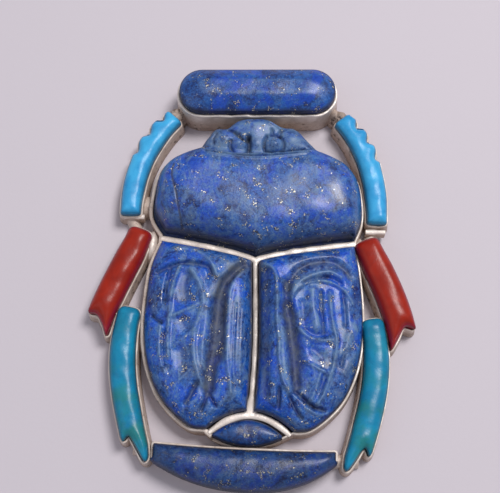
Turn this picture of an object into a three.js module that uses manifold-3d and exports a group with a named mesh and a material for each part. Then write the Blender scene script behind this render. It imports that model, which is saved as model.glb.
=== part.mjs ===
// A winged-beetle amulet: carved stones set in soldered silver cells, lying on its flat back.
// Millimetres. x runs across the beetle, y towards its head and z up from the back of the plates.
// The plan is drawn with the beetle's middle line at x = 0 and the joint of thorax and wing cases
// at y = 0. The last group moves the middle of the finished outline to the origin.

import * as THREE from 'three';
import { mergeVertices } from 'three/addons/utils/BufferGeometryUtils.js';
import Module from 'manifold-3d';

const wasm = await Module();
wasm.setup();

// Silver setting
const PLATE_THICKNESS = 0.9;
const WALL_THICKNESS = 0.5;
const LEG_WALL_THICKNESS = 0.38;
const STRIP_THICKNESS = 0.75; // the strips between the stones of the body
const SIDE_GAP = 0.15; // from the edge of a stone to its cell wall
const SEAT_GAP = 0.12; // from the underside of a stone to the plate
const BODY_WALL_HEIGHT = 2.6;
const LEG_WALL_HEIGHT = 2.4;
const BAR_WALL_HEIGHT = 4.1;
const CRESCENT_WALL_HEIGHT = 2.6;
const JOINT_HEIGHT = 1.7; // the solder joints between cells
const JOINT_WIDTH = 1.6;

// Body stones
const BODY_HALF_WIDTH = 13.4;
const THORAX_LENGTH = 11.9;
const HEAD_HALF_WIDTH = 7.8;
const HEAD_LENGTH = 4.35;
const WING_LENGTH = 24.7;
const VEE_DEPTH = 2.8; // how far the thorax points down between the wing cases
const ARCH_RISE = 2.5; // how far the wing cases are cut up over the tail
const ARCH_HALF_WIDTH = 5.15;
const TAIL_HALF_WIDTH = 4.1;
const TAIL_DROP = 1.0; // the tail's lower edge under the wing tips
const LEFT_WAIST = 0.885; // half width at the waist as a share of the half width of the wing cases
const RIGHT_WAIST = 0.925;
const STONE_STEP = 0.3; // the upright edge of a stone that shows above its wall
const THORAX_DOME = 5.0;
const HEAD_DOME = 2.5;
const WING_DOME = 1.9;
const WING_CROWN = 1.5;
const TAIL_DOME = 0.9;
const TAIL_EDGE_REACH = 1.3;
const TAIL_OFF_CENTRE = -0.25;
const TAIL_LOWER = 0.2; // how much wider the strip over the tail is than the others
const THORAX_EDGE_REACH = 3.9;
const NECK_REACH = 5.4;
const WING_EDGE_REACH = 2.2;

// Bar over the head
const BAR_LENGTH = 20.3;
const BAR_WIDTH = 5.8;
const BAR_STEP = 1.0; // the bar stands higher out of its cell than the other stones
const BAR_DOME = 1.3;
const BAR_EDGE_REACH = 1.8; // how far in the rounded edge goes
const BAR_TURN = THREE.MathUtils.degToRad(2.1);
const BAR_OFF_CENTRE = -0.5;

// Crescent under the tail
const CRESCENT_HALF_LENGTH = 10.8;
const CRESCENT_DEPTH = 4.3;
const CRESCENT_DOME = 1.7;
const CRESCENT_EDGE_REACH = 1.9;
const CRESCENT_SKEW = 0.08; // its deepest point lies this share of the half length to the right
const CRESCENT_OFF_CENTRE = -0.55;

// Legs
const FRONT_LEG_WIDTH = 2.6;
const LEFT_MIDDLE_LEG_WIDTH = 3.1;
const RIGHT_MIDDLE_LEG_WIDTH = 3.25;
const HIND_LEG_WIDTH = 2.9;
const TURQUOISE_DOME = 1.2;
const CORAL_DOME = 1.5;
const TOOTH_DEPTH = 0.75; // the first notch in the outer edge of a front leg
const TOOTH_SHALLOWER = 0.12; // how much less deep each notch is than the one before
const TOOTH_RISE = 0.2; // how far the teeth stand out from the leg's own edge
const LEFT_TOOTH_PITCH = 2.7;
const LEFT_TOOTH_START = 1.35; // how much shorter the first tooth is than the pitch
const RIGHT_TOOTH_PITCH = 2.4;
const RIGHT_TOOTH_START = 0.2;
const LEGS_OFF_CENTRE = -0.35;
const RIGHT_FRONT_LEG_LOWER = 0.2;
const RIGHT_MIDDLE_LEG_LOWER = 0.6;
const RIGHT_MIDDLE_LEG_BOW = 0.3; // how much further out its curve is pulled than the left one's
const RIGHT_HIND_ROOT_LOWER = 0.48;
const RIGHT_HIND_FOOT_LOWER = 0.6;

const STRIP_HALF = STRIP_THICKNESS / 2 + SIDE_GAP;
const CELL_MARGIN = SIDE_GAP + WALL_THICKNESS;
const STONE_FOOT = PLATE_THICKNESS + SEAT_GAP;

const LEFT = -1;
const RIGHT = 1;

// Plan helpers. An outline is a list of [x, y] that runs anticlockwise.

const mix = (a, b, t) => a + (b - a) * t;
const clamp = (value, low, high) => Math.min(high, Math.max(low, value));
const smooth = (t) => {
  const s = clamp(t, 0, 1);
  return s * s * (3 - 2 * s);
};

function spline(points) {
  const curve = new THREE.SplineCurve(points.map(([x, y]) => new THREE.Vector2(x, y)));
  return (t) => curve.getPoint(clamp(t, 0, 1)).toArray();
}

function sample(side, count) {
  return Array.from({ length: count }, (_, i) => side(i / count));
}

function area(points) {
  return THREE.ShapeUtils.area(points.map(([x, y]) => new THREE.Vector2(x, y)));
}

function anticlockwise(points) {
  return area(points) < 0 ? points.slice().reverse() : points;
}

function segmentDistance(x, y, [ax, ay], [bx, by]) {
  const dx = bx - ax;
  const dy = by - ay;
  const t = clamp(((x - ax) * dx + (y - ay) * dy) / (dx * dx + dy * dy || 1), 0, 1);
  return Math.hypot(x - ax - t * dx, y - ay - t * dy);
}

function edgeDistance(x, y, outline) {
  let least = Infinity;
  outline.forEach((point, i) => {
    least = Math.min(least, segmentDistance(x, y, point, outline[(i + 1) % outline.length]));
  });
  return least;
}

function lineDistance(x, y, line) {
  let least = Infinity;
  for (let i = 0; i + 1 < line.length; i += 1) {
    least = Math.min(least, segmentDistance(x, y, line[i], line[i + 1]));
  }
  return least;
}

// A distance that stays smooth in the middle of a stone: the power mean of the distances to all parts
// of the outline, which near a straight edge is the plain distance.
function softDistance(x, y, outline) {
  let sum = 0;
  outline.forEach(([ax, ay], i) => {
    const [bx, by] = outline[(i + 1) % outline.length];
    const length = Math.hypot(bx - ax, by - ay);
    const gap = Math.max(segmentDistance(x, y, [ax, ay], [bx, by]), length / 2, 1e-3);
    sum += length / gap ** 3;
  });
  return Math.min(Math.sqrt(2 / sum), edgeDistance(x, y, outline));
}

// The outline moved outwards by grow, with short round corners. Points that land nearer to the
// outline than that lie in the loops that narrow notches make, and are left out.
function grown(outline, grow) {
  const count = outline.length;
  const moved = [];
  outline.forEach(([x, y], i) => {
    const [ax, ay] = outline[(i + count - 1) % count];
    const [bx, by] = outline[(i + 1) % count];
    const first = Math.atan2(ax - x, y - ay);
    const change = Math.atan2(x - bx, by - y) - first;
    const turn = Math.atan2(Math.sin(change), Math.cos(change));
    const steps = turn > 0.5 ? 2 : 0;
    for (let k = 0; k <= steps; k += 1) {
      const angle = steps ? first + (turn * k) / steps : first + turn / 2;
      const reach = steps ? grow : grow / Math.max(0.5, Math.cos(turn / 2));
      moved.push([x + reach * Math.cos(angle), y + reach * Math.sin(angle)]);
    }
  });
  return moved.filter(([x, y]) => edgeDistance(x, y, outline) > grow * 0.98);
}

// Leaves out points that lie within tolerance of the line through their neighbours.
function thinned(outline, tolerance) {
  const kept = outline.slice();
  for (let i = 0; i < kept.length && kept.length > 8; ) {
    const before = kept[(i + kept.length - 1) % kept.length];
    const after = kept[(i + 1) % kept.length];
    const bow = segmentDistance(kept[i][0], kept[i][1], before, after);
    if (bow < tolerance && Math.hypot(after[0] - before[0], after[1] - before[1]) < 4) {
      kept.splice(i, 1);
      i += 1;
    } else {
      i += 1;
    }
  }
  return kept;
}

// Stones: a plan mesh is raised to height(x, y) and closed down to a flat underside.

function raised(plan, height, foot) {
  const { points, faces, rim } = plan;
  const positions = points.flatMap(([x, y]) => [x, y, height(x, y)]);
  const first = points.length;
  rim.forEach((index) => positions.push(points[index][0], points[index][1], foot));
  const index = faces.flat();
  rim.forEach((top, i) => {
    const next = (i + 1) % rim.length;
    index.push(top, first + i, first + next, top, first + next, rim[next]);
  });
  const flat = rim.map((i) => new THREE.Vector2(points[i][0], points[i][1]));
  THREE.ShapeUtils.triangulateShape(flat, []).forEach(([a, b, c]) => {
    index.push(first + a, first + c, first + b);
  });
  const geometry = new THREE.BufferGeometry();
  geometry.setAttribute('position', new THREE.Float32BufferAttribute(positions, 3));
  geometry.setIndex(index);
  geometry.computeVertexNormals();
  return geometry;
}

// Rings of the outline drawn in towards a centre, closer together at the edge.
function ringPlan(outline, [cx, cy], rings) {
  const count = outline.length;
  const points = [[cx, cy]];
  const faces = [];
  for (let ring = 1; ring <= rings; ring += 1) {
    const share = 1 - (1 - ring / rings) ** 1.35;
    outline.forEach(([x, y]) => points.push([mix(cx, x, share), mix(cy, y, share)]));
  }
  for (let ring = 0; ring < rings; ring += 1) {
    for (let i = 0; i < count; i += 1) {
      const next = (i + 1) % count;
      const outer = 1 + ring * count;
      if (ring === 0) {
        faces.push([0, outer + i, outer + next]);
      } else {
        const inner = outer - count;
        faces.push([inner + i, outer + i, outer + next], [inner + i, outer + next, inner + next]);
      }
    }
  }
  const last = 1 + (rings - 1) * count;
  return { points, faces, rim: outline.map((_, i) => last + i) };
}

// A grid stretched between four sides: near and far run across, left and right run along.
function patchPlan({ near, far, left, right }, across, along) {
  const points = [];
  const [c00, c10] = [near(0), near(1)];
  const [c01, c11] = [far(0), far(1)];
  for (let j = 0; j <= along; j += 1) {
    for (let i = 0; i <= across; i += 1) {
      const u = i / across;
      const v = j / along;
      points.push([0, 1].map((k) => {
        const ruled = mix(near(u)[k], far(u)[k], v) + mix(left(v)[k], right(v)[k], u);
        return ruled - mix(mix(c00[k], c10[k], u), mix(c01[k], c11[k], u), v);
      }));
    }
  }
  const at = (i, j) => j * (across + 1) + i;
  const faces = [];
  for (let j = 0; j < along; j += 1) {
    for (let i = 0; i < across; i += 1) {
      faces.push([at(i, j), at(i + 1, j), at(i + 1, j + 1)], [at(i, j), at(i + 1, j + 1), at(i, j + 1)]);
    }
  }
  const rim = [];
  for (let i = 0; i < across; i += 1) rim.push(at(i, 0));
  for (let j = 0; j < along; j += 1) rim.push(at(across, j));
  for (let i = across; i > 0; i -= 1) rim.push(at(i, along));
  for (let j = along; j > 0; j -= 1) rim.push(at(0, j));
  const [ax, ay] = points[at(0, 0)];
  const [bx, by] = points[at(across, 0)];
  const [dx, dy] = points[at(0, along)];
  if ((bx - ax) * (dy - ay) - (by - ay) * (dx - ax) < 0) {
    faces.forEach((face) => face.reverse());
    rim.reverse();
  }
  return { points, faces, rim };
}

const rimOutline = (plan) => anticlockwise(plan.rim.map((i) => plan.points[i]));

// The quarter-round edge of a cabochon: 0 at the edge, 1 from reach inwards.
const roll = (distance, reach) => Math.sqrt(1 - (1 - clamp(distance / reach, 0, 1)) ** 2);

// Curves that the stones of the body share

// Middle line of the strip between thorax and wing cases, a brace with its point on the middle line
function veeLine(x) {
  return -VEE_DEPTH * (1 - (Math.abs(x) / BODY_HALF_WIDTH) ** 0.68);
}

// Middle line of the strip over the tail
function archLine(x) {
  return ARCH_RISE - WING_LENGTH - ARCH_RISE * (x / ARCH_HALF_WIDTH) ** 2;
}

// How far up or down a stone's edge lies from such a middle line, measured along y
function strip(line, x) {
  const slope = clamp((line(x + 0.1) - line(x - 0.1)) / 0.2, -1, 1);
  return STRIP_HALF * Math.hypot(1, slope);
}

const waist = (side) => (side === LEFT ? LEFT_WAIST : RIGHT_WAIST);

// Thorax and head, one stone. Shares of the half width and of the length.
const THORAX_SIDE = [[0.985, 0.22], [0.987, 0.45], [0.945, 0.69], [0.84, 0.85], [0.7, 0.94]];
const HEAD_SIDE = {
  [LEFT]: [[0.99, 0], [0.9, 0.24], [0.83, 0.43], [0.76, 0.59], [0.68, 0.64], [0.56, 0.64], [0.47, 0.78], [0.38, 0.91],
    [0.23, 0.985], [0.077, 1]],
  [RIGHT]: [[1, 0], [0.86, 0.23], [0.76, 0.41], [0.675, 0.585], [0.555, 0.72], [0.435, 0.73], [0.33, 0.79], [0.2, 0.93],
    [0.08, 0.99], [-0.077, 1]],
};

function thoraxHalf(side) {
  const corner = waist(side) * BODY_HALF_WIDTH;
  const lower = (t) => {
    const x = corner * t ** 1.2;
    return [x, veeLine(x) + strip(veeLine, x)];
  };
  const upper = spline([
    [corner, 0.03 * THORAX_LENGTH],
    ...THORAX_SIDE.map(([x, y]) => [x * BODY_HALF_WIDTH, y * THORAX_LENGTH]),
    ...HEAD_SIDE[side].map(([x, y]) => [x * HEAD_HALF_WIDTH, THORAX_LENGTH + y * HEAD_LENGTH]),
  ]);
  return [...sample(lower, 9), ...sample(upper, 25), upper(1)].map(([x, y]) => [side * x, y]);
}

function thoraxOutline() {
  return [...thoraxHalf(RIGHT), ...thoraxHalf(LEFT).slice(1, -1).reverse()];
}

// Height of the thorax dome and of the lower head in front of it
function thoraxHeight(outline) {
  const girdle = BODY_WALL_HEIGHT + STONE_STEP;
  const bumps = [
    [-0.66, 0.2, 0.45, 1.3],
    [0.57, 0.26, 0.45, 1.3],
    [-0.32, 0.06, 0.45, 0.8],
    [0.26, 0.03, 0.55, 0.9],
    [-0.08, 0.6, 0.35, 1.6],
  ];
  return (x, y) => {
    const edge = edgeDistance(x, y, outline);
    const neck = THORAX_LENGTH - 0.3 - 0.9 * (1 - (x / HEAD_HALF_WIDTH) ** 2);
    const side = Math.max(roll(softDistance(x, y, outline), THORAX_EDGE_REACH), 1e-3);
    const front = roll(Math.max(0, neck - y) + 1.3, NECK_REACH);
    const back = THORAX_DOME * (side ** -6 + front ** -6) ** (-1 / 6);
    let head = HEAD_DOME * roll(edge, 1.5);
    bumps.forEach(([bx, by, rise, radius]) => {
      const dx = x - bx * HEAD_HALF_WIDTH;
      const dy = y - THORAX_LENGTH - by * HEAD_LENGTH;
      head += rise * Math.exp(-(dx * dx + dy * dy) / (radius * radius)) * roll(edge, 1.5);
    });
    return girdle + mix(back, head, smooth((y - neck + 0.4) / 0.9));
  };
}

// Wing cases. Shares of the half width and of the length.
const WING_SIDE = [[0.965, 0.16], [0.995, 0.32], [1, 0.49], [0.955, 0.65], [0.855, 0.79], [0.72, 0.885], [0.54, 0.96]];

function wingPlan(side) {
  const corner = waist(side) * BODY_HALF_WIDTH;
  const tip = ARCH_HALF_WIDTH;
  const topEdge = (x) => veeLine(x) - strip(veeLine, x);
  const archEdge = (x) => archLine(x) + strip(archLine, x);
  const outer = spline([
    [corner, topEdge(corner)],
    ...WING_SIDE.map(([x, y]) => [x * BODY_HALF_WIDTH, -y * WING_LENGTH]),
    [tip, archEdge(tip)],
  ]);
  const top = (u) => {
    const x = mix(STRIP_HALF, corner, u);
    return [side * x, topEdge(x)];
  };
  const arch = (u) => {
    const x = mix(STRIP_HALF, tip, u);
    return [side * x, archEdge(x)];
  };
  const spine = (v) => [side * STRIP_HALF, mix(topEdge(STRIP_HALF), archEdge(STRIP_HALF), v)];
  const flank = (v) => {
    const [x, y] = outer(v);
    return [side * x, y];
  };
  return patchPlan({ near: top, far: arch, left: spine, right: flank }, 15, 26);
}

// Carved lines of a wing case, each through a few points given in shares of the half width from
// the middle line and of the length from the front, then its half width and height in millimetres.
const LEFT_CARVING = [
  [[[0.13, 0.16], [0.31, 0.28], [0.38, 0.52], [0.36, 0.8]], 0.62, -0.95],
  [[[0.15, 0.26], [0.21, 0.4], [0.21, 0.62], [0.18, 0.8]], 0.55, 0.3],
  [[[0.86, 0.15], [0.56, 0.12], [0.4, 0.2], [0.33, 0.3]], 0.5, 0.35],
  [[[0.87, 0.27], [0.66, 0.2], [0.46, 0.32], [0.5, 0.5], [0.52, 0.74]], 0.5, 0.35],
  [[[0.68, 0.24], [0.74, 0.45], [0.7, 0.7]], 0.4, 0.3],
  [[[0.68, 0.49], [0.48, 0.42]], 0.4, -0.4],
  [[[0.68, 0.62], [0.5, 0.55]], 0.4, -0.4],
  [[[0.92, 0.46], [0.8, 0.5]], 0.4, -0.4],
  [[[0.49, 0.8], [0.58, 0.9]], 0.4, -0.5],
  [[[0.37, 0.84], [0.42, 0.94]], 0.4, -0.5],
];
const RIGHT_CARVING = [
  [[[0.1, 0.14], [0.12, 0.4], [0.13, 0.62], [0.14, 0.82]], 0.7, -0.55],
  [[[0.09, 0.16], [0.21, 0.3], [0.24, 0.56], [0.34, 0.8]], 0.5, 0.4],
  [[[0.32, 0.3], [0.34, 0.5], [0.42, 0.75]], 0.5, -0.75],
  [[[0.33, 0.3], [0.42, 0.19], [0.66, 0.15], [0.9, 0.26]], 0.5, -0.6],
  [[[0.36, 0.32], [0.56, 0.21], [0.84, 0.24]], 0.4, 0.3],
  [[[0.55, 0.34], [0.55, 0.48]], 0.6, 0.35],
  [[[0.7, 0.36], [0.74, 0.55], [0.6, 0.85]], 0.4, 0.3],
  [[[0.41, 0.5], [0.7, 0.55]], 0.4, -0.4],
  [[[0.48, 0.66], [0.68, 0.7]], 0.4, -0.4],
  [[[0.4, 0.8], [0.6, 0.88], [0.73, 0.87]], 0.4, -0.5],
];

function wingHeight(outline, carving) {
  const girdle = BODY_WALL_HEIGHT + STONE_STEP;
  const lines = carving.map(([points, width, rise]) => {
    const curve = spline(points.map(([x, y]) => [x * BODY_HALF_WIDTH, -y * WING_LENGTH]));
    return { line: [...sample(curve, 9), curve(1)], width, rise };
  });
  return (x, y) => {
    const edge = edgeDistance(x, y, outline);
    const across = 1 - (x / BODY_HALF_WIDTH) ** 2;
    const along = 1 - Math.abs((2 * -y) / WING_LENGTH - 0.9) ** 3;
    let relief = 0;
    lines.forEach(({ line, width, rise }) => {
      relief += rise * Math.exp(-((lineDistance(Math.abs(x), y, line) / width) ** 2));
    });
    const edgeShare = roll(edge, WING_EDGE_REACH);
    return girdle + WING_DOME * edgeShare + (WING_CROWN * clamp(across * along, 0, 1) + relief) * edgeShare;
  };
}

// Tail lens between the arch and the crescent
const tailTop = (x) => archLine(x) - strip(archLine, x) - TAIL_LOWER;
const TAIL_CORNER_Y = tailTop(TAIL_HALF_WIDTH);
const TAIL_LOW_Y = -WING_LENGTH - TAIL_DROP;

function tailOutline() {
  const upper = (t) => {
    const x = mix(TAIL_HALF_WIDTH, -TAIL_HALF_WIDTH, t);
    return [x + TAIL_OFF_CENTRE, tailTop(x)];
  };
  const lower = (t) => {
    const x = mix(-TAIL_HALF_WIDTH, TAIL_HALF_WIDTH, t);
    return [x + TAIL_OFF_CENTRE, mix(TAIL_LOW_Y, TAIL_CORNER_Y, (x / TAIL_HALF_WIDTH) ** 2)];
  };
  return [...sample(upper, 10), ...sample(lower, 10)];
}

// Crescent: a nearly straight upper edge, blunt ends and a deep lower edge
const CRESCENT_TOP_Y = TAIL_LOW_Y - 2 * SIDE_GAP - WALL_THICKNESS;
const CRESCENT_BLUNT = [1.6, 1.0]; // height of the left and of the right end

function crescentOutline() {
  const middle = CRESCENT_OFF_CENTRE;
  const place = (share, y) => [middle + share * CRESCENT_HALF_LENGTH, y];
  const topEdge = (share) => CRESCENT_TOP_Y + 0.25 * share * share - 0.15 * share;
  const blunt = (share) => mix(CRESCENT_BLUNT[0], CRESCENT_BLUNT[1], (share + 1) / 2);
  const upper = (t) => place(1 - 2 * t, topEdge(1 - 2 * t));
  const lower = (t) => {
    const share = -Math.cos(Math.PI * t);
    const low = CRESCENT_TOP_Y - CRESCENT_DEPTH;
    const past = (share - CRESCENT_SKEW) / (share < CRESCENT_SKEW ? 1 + CRESCENT_SKEW : 1 - CRESCENT_SKEW);
    return place(share, mix(low, topEdge(share) - blunt(share), Math.abs(past) ** 2.2));
  };
  return [...sample(upper, 12), upper(1), ...sample(lower, 22), lower(1)];
}

// Bar: two straight edges and round ends, turned a little about its middle
const HEAD_TOP_Y = THORAX_LENGTH + HEAD_LENGTH;
const BAR_MIDDLE = [BAR_OFF_CENTRE, HEAD_TOP_Y + CELL_MARGIN + SIDE_GAP + BAR_WIDTH / 2];

function onBar(x, y) {
  const [c, s] = [Math.cos(BAR_TURN), Math.sin(BAR_TURN)];
  return [BAR_MIDDLE[0] + c * x - s * y, BAR_MIDDLE[1] + s * x + c * y];
}

function barOutline() {
  const radius = BAR_WIDTH / 2;
  const straight = BAR_LENGTH / 2 - radius;
  const points = [];
  [1, -1].forEach((end) => {
    for (let i = 0; i <= 12; i += 1) {
      const angle = Math.PI * (i / 12 - 0.5);
      points.push(onBar(end * (straight + radius * Math.cos(angle)), end * radius * Math.sin(angle)));
    }
    for (let i = 1; i < 6; i += 1) {
      points.push(onBar(end * mix(straight, -straight, i / 6), end * radius));
    }
  });
  return points;
}

// Legs: a bar along a curve, with the outer edge, the root and the foot shaped by functions.
// The foot lists, from the outer to the inner edge, the place across in half widths and how far
// that point reaches past the end of the curve in millimetres.

function legPlan({ side, path, width, rootReach, foot, notch, across, along }) {
  const curve = new THREE.CubicBezierCurve(...path.map(([x, y]) => new THREE.Vector2(x, y)));
  const place = (t, out, past) => {
    const point = curve.getPoint(t);
    const tangent = curve.getTangent(t);
    const x = point.x - tangent.y * out + tangent.x * past;
    return [side * x + LEGS_OFF_CENTRE, point.y + tangent.x * out + tangent.y * past];
  };
  const half = (t) => (width / 2) * (0.9 + 0.1 * smooth(t * 3));
  const root = (u) => {
    const out = 1 - 2 * u;
    return place(0, half(0) * out, -rootReach * Math.sqrt(1 - out ** 4));
  };
  const knots = foot.length - 1;
  const end = (u) => {
    const k = Math.min(knots - 1, Math.floor(u * knots + 1e-9));
    const t = u * knots - k;
    return place(1, half(1) * mix(foot[k][0], foot[k + 1][0], t), mix(foot[k][1], foot[k + 1][1], t));
  };
  const flat = foot[0][0];
  const flatInner = -foot[knots][0];
  const toEnd = (t) => smooth((t - 0.75) * 4);
  const outer = (t) => {
    const reach = mix(0, foot[0][1], toEnd(t));
    return place(t, half(t) * mix(1, flat, toEnd(t)) - notch(t * curve.getLength()), reach);
  };
  const inner = (t) => place(t, -half(t) * mix(1, flatInner, toEnd(t)), mix(0, foot[knots][1], toEnd(t)));
  return patchPlan({ near: root, far: end, left: outer, right: inner }, across, along);
}

// Where the legs start and end, drawn for both sides with x growing outwards
const CRESCENT_END = CRESCENT_HALF_LENGTH + CRESCENT_OFF_CENTRE;

function legEnds(side) {
  const right = side === RIGHT ? 1 : 0;
  const frontFoot = [BODY_HALF_WIDTH + mix(2.5, 2.3, right), 0.27 * THORAX_LENGTH - right * RIGHT_FRONT_LEG_LOWER];
  const middleFootY = -0.415 * WING_LENGTH - right * RIGHT_MIDDLE_LEG_LOWER;
  return {
    frontRoot: [
      BAR_LENGTH / 2 + mix(1.1, 1.2, right),
      BAR_MIDDLE[1] - BAR_WIDTH / 2 - mix(0.6, 0.2, right),
    ],
    frontFoot,
    middleRoot: [BODY_HALF_WIDTH + 1.1, frontFoot[1] - mix(3.35, 3.65, right)],
    middleFoot: [BODY_HALF_WIDTH + mix(5.0, 5.1, right), middleFootY],
    hindRoot: [BODY_HALF_WIDTH + 1.8, -0.427 * WING_LENGTH - right * RIGHT_HIND_ROOT_LOWER],
    hindFoot: [CRESCENT_END + 3.25, CRESCENT_TOP_Y + 1.2 - right * RIGHT_HIND_FOOT_LOWER],
  };
}

const away = ([x, y], dx, dy) => [x + dx, y + dy];

const SQUARE_FOOT = [[0.9, 0], [0.8, 0.2], [0.4, 0.3], [0, 0.3], [-0.4, 0.3], [-0.8, 0.2], [-0.9, 0]];
const CORAL_TOES = {
  [LEFT]: [[1, 0.0], [0.9, 0.4], [0.3, 0.35], [-0.35, 1.3], [-0.92, 2.4], [-0.95, 1.3], [-0.9, 0.2]],
  [RIGHT]: [[1, -0.2], [0.96, 0.35], [0.3, -0.1], [-0.35, 1.2], [-1.05, 2.4], [-1.0, 1.3], [-0.95, 0.2]],
};
const HIND_TOES = {
  [LEFT]: [[1, -0.4], [0.86, 0.1], [0.36, -0.3], [0.0, 1.4], [-0.3, 3.0], [-0.68, 2.75], [-0.9, 1.2]],
  [RIGHT]: [[1, -0.4], [0.86, 0.25], [0.36, -0.5], [0.0, 1.2], [-0.35, 2.7], [-0.7, 2.5], [-0.9, 1.1]],
};

// Three teeth that stand out from the edge, each cut away towards a notch with a steep lower flank
const steps = (pitch, start) => (distance) => {
  const count = (distance + start) / pitch;
  const number = Math.floor(count);
  const depth = TOOTH_DEPTH - TOOTH_SHALLOWER * number;
  const notch = count < 3 ? depth * smooth((count - number - 0.25) / 0.65) : 0;
  return notch - TOOTH_RISE * (1 - smooth(count - 2.7));
};

function frontLeg(side) {
  const { frontRoot, frontFoot } = legEnds(side);
  return legPlan({
    side,
    path: [frontRoot, away(frontRoot, 3.0, -3.4), away(frontFoot, 0.1, 5.8), frontFoot],
    width: FRONT_LEG_WIDTH,
    rootReach: 0.4,
    foot: SQUARE_FOOT,
    notch: side === LEFT ? steps(LEFT_TOOTH_PITCH, LEFT_TOOTH_START) : steps(RIGHT_TOOTH_PITCH, RIGHT_TOOTH_START),
    across: 6,
    along: 26,
  });
}

const middleLegWidth = (side) => (side === LEFT ? LEFT_MIDDLE_LEG_WIDTH : RIGHT_MIDDLE_LEG_WIDTH);

function middleLeg(side) {
  const { middleRoot, middleFoot } = legEnds(side);
  const bow = side === LEFT ? 0 : RIGHT_MIDDLE_LEG_BOW;
  return legPlan({
    side,
    path: [middleRoot, away(middleRoot, 1.1 + bow, -3.2), away(middleFoot, -1.2 + bow, 4.0), middleFoot],
    width: middleLegWidth(side),
    rootReach: 1.0,
    foot: CORAL_TOES[side],
    notch: () => 0,
    across: 6,
    along: 13,
  });
}

function hindLeg(side) {
  const { hindRoot, hindFoot } = legEnds(side);
  return legPlan({
    side,
    path: [hindRoot, away(hindRoot, 0.9, -5.0), away(hindFoot, 1.9, 6.0), hindFoot],
    width: HIND_LEG_WIDTH,
    rootReach: 1.1,
    foot: HIND_TOES[side],
    notch: () => 0,
    across: 6,
    along: 14,
  });
}

// Every stone: its plan mesh, the top of its cell wall and its height function

const LAPIS = new THREE.MeshStandardMaterial({ color: 0x27469f, roughness: 0.38, metalness: 0 });
const TURQUOISE = new THREE.MeshStandardMaterial({ color: 0x2f9fc8, roughness: 0.35, metalness: 0 });
const GREEN_TURQUOISE = new THREE.MeshStandardMaterial({ color: 0x1d94a8, roughness: 0.35, metalness: 0 });
const CORAL = new THREE.MeshStandardMaterial({ color: 0xb3321d, roughness: 0.35, metalness: 0 });
const SILVER = new THREE.MeshStandardMaterial({ color: 0xb8ada2, roughness: 0.42, metalness: 0.9 });

const domed = (girdle, dome, reach) => (outline) => (x, y) =>
  girdle + dome * roll(edgeDistance(x, y, outline), reach);

const legStone = (name, plan, material, width, dome) => ({
  name,
  plan,
  material,
  wall: LEG_WALL_HEIGHT,
  thickness: LEG_WALL_THICKNESS,
  height: domed(LEG_WALL_HEIGHT + STONE_STEP, dome, width * 0.48),
});

const stones = [
  {
    name: 'lapis_top_bar',
    plan: ringPlan(barOutline(), BAR_MIDDLE, 5),
    material: LAPIS,
    wall: BAR_WALL_HEIGHT,
    height: domed(BAR_WALL_HEIGHT + BAR_STEP, BAR_DOME, BAR_EDGE_REACH),
  },
  {
    name: 'lapis_head_and_thorax',
    plan: ringPlan(thoraxOutline(), [0, 0.45 * THORAX_LENGTH], 13),
    material: LAPIS,
    wall: BODY_WALL_HEIGHT,
    height: thoraxHeight,
  },
  {
    name: 'lapis_left_wing_case',
    plan: wingPlan(LEFT),
    material: LAPIS,
    wall: BODY_WALL_HEIGHT,
    height: (outline) => wingHeight(outline, LEFT_CARVING),
  },
  {
    name: 'lapis_right_wing_case',
    plan: wingPlan(RIGHT),
    material: LAPIS,
    wall: BODY_WALL_HEIGHT,
    height: (outline) => wingHeight(outline, RIGHT_CARVING),
  },
  {
    name: 'lapis_tail',
    plan: ringPlan(tailOutline(), [TAIL_OFF_CENTRE, mix(TAIL_CORNER_Y, TAIL_LOW_Y, 0.1)], 3),
    material: LAPIS,
    wall: BODY_WALL_HEIGHT,
    height: domed(BODY_WALL_HEIGHT + STONE_STEP, TAIL_DOME, TAIL_EDGE_REACH),
  },
  {
    name: 'lapis_crescent',
    plan: ringPlan(crescentOutline(), [CRESCENT_OFF_CENTRE, CRESCENT_TOP_Y - 0.42 * CRESCENT_DEPTH], 5),
    material: LAPIS,
    wall: CRESCENT_WALL_HEIGHT,
    thickness: LEG_WALL_THICKNESS,
    height: domed(CRESCENT_WALL_HEIGHT + STONE_STEP, CRESCENT_DOME, CRESCENT_EDGE_REACH),
  },
  legStone('turquoise_left_front_leg', frontLeg(LEFT), TURQUOISE, FRONT_LEG_WIDTH, TURQUOISE_DOME),
  legStone('turquoise_right_front_leg', frontLeg(RIGHT), TURQUOISE, FRONT_LEG_WIDTH, TURQUOISE_DOME),
  legStone('coral_left_middle_leg', middleLeg(LEFT), CORAL, LEFT_MIDDLE_LEG_WIDTH, CORAL_DOME),
  legStone('coral_right_middle_leg', middleLeg(RIGHT), CORAL, RIGHT_MIDDLE_LEG_WIDTH, CORAL_DOME),
  legStone('turquoise_left_hind_leg', hindLeg(LEFT), GREEN_TURQUOISE, HIND_LEG_WIDTH, TURQUOISE_DOME),
  legStone('turquoise_right_hind_leg', hindLeg(RIGHT), GREEN_TURQUOISE, HIND_LEG_WIDTH, TURQUOISE_DOME),
];
stones.forEach((stone) => {
  stone.outline = rimOutline(stone.plan);
});

// Setting: a block round every stone, joined by solder, with the cells cut out of it

function prism(outline, low, high) {
  const shape = new THREE.Shape(anticlockwise(outline).map(([x, y]) => new THREE.Vector2(x, y)));
  const geometry = new THREE.ExtrudeGeometry(shape, { depth: high - low, bevelEnabled: false });
  geometry.translate(0, 0, low);
  return solid(geometry);
}

function solid(geometry) {
  geometry.deleteAttribute('normal');
  geometry.deleteAttribute('uv');
  const merged = mergeVertices(geometry);
  return new wasm.Manifold(new wasm.Mesh({
    numProp: 3,
    vertProperties: new Float32Array(merged.attributes.position.array),
    triVerts: new Uint32Array(merged.index.array),
  }));
}

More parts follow.
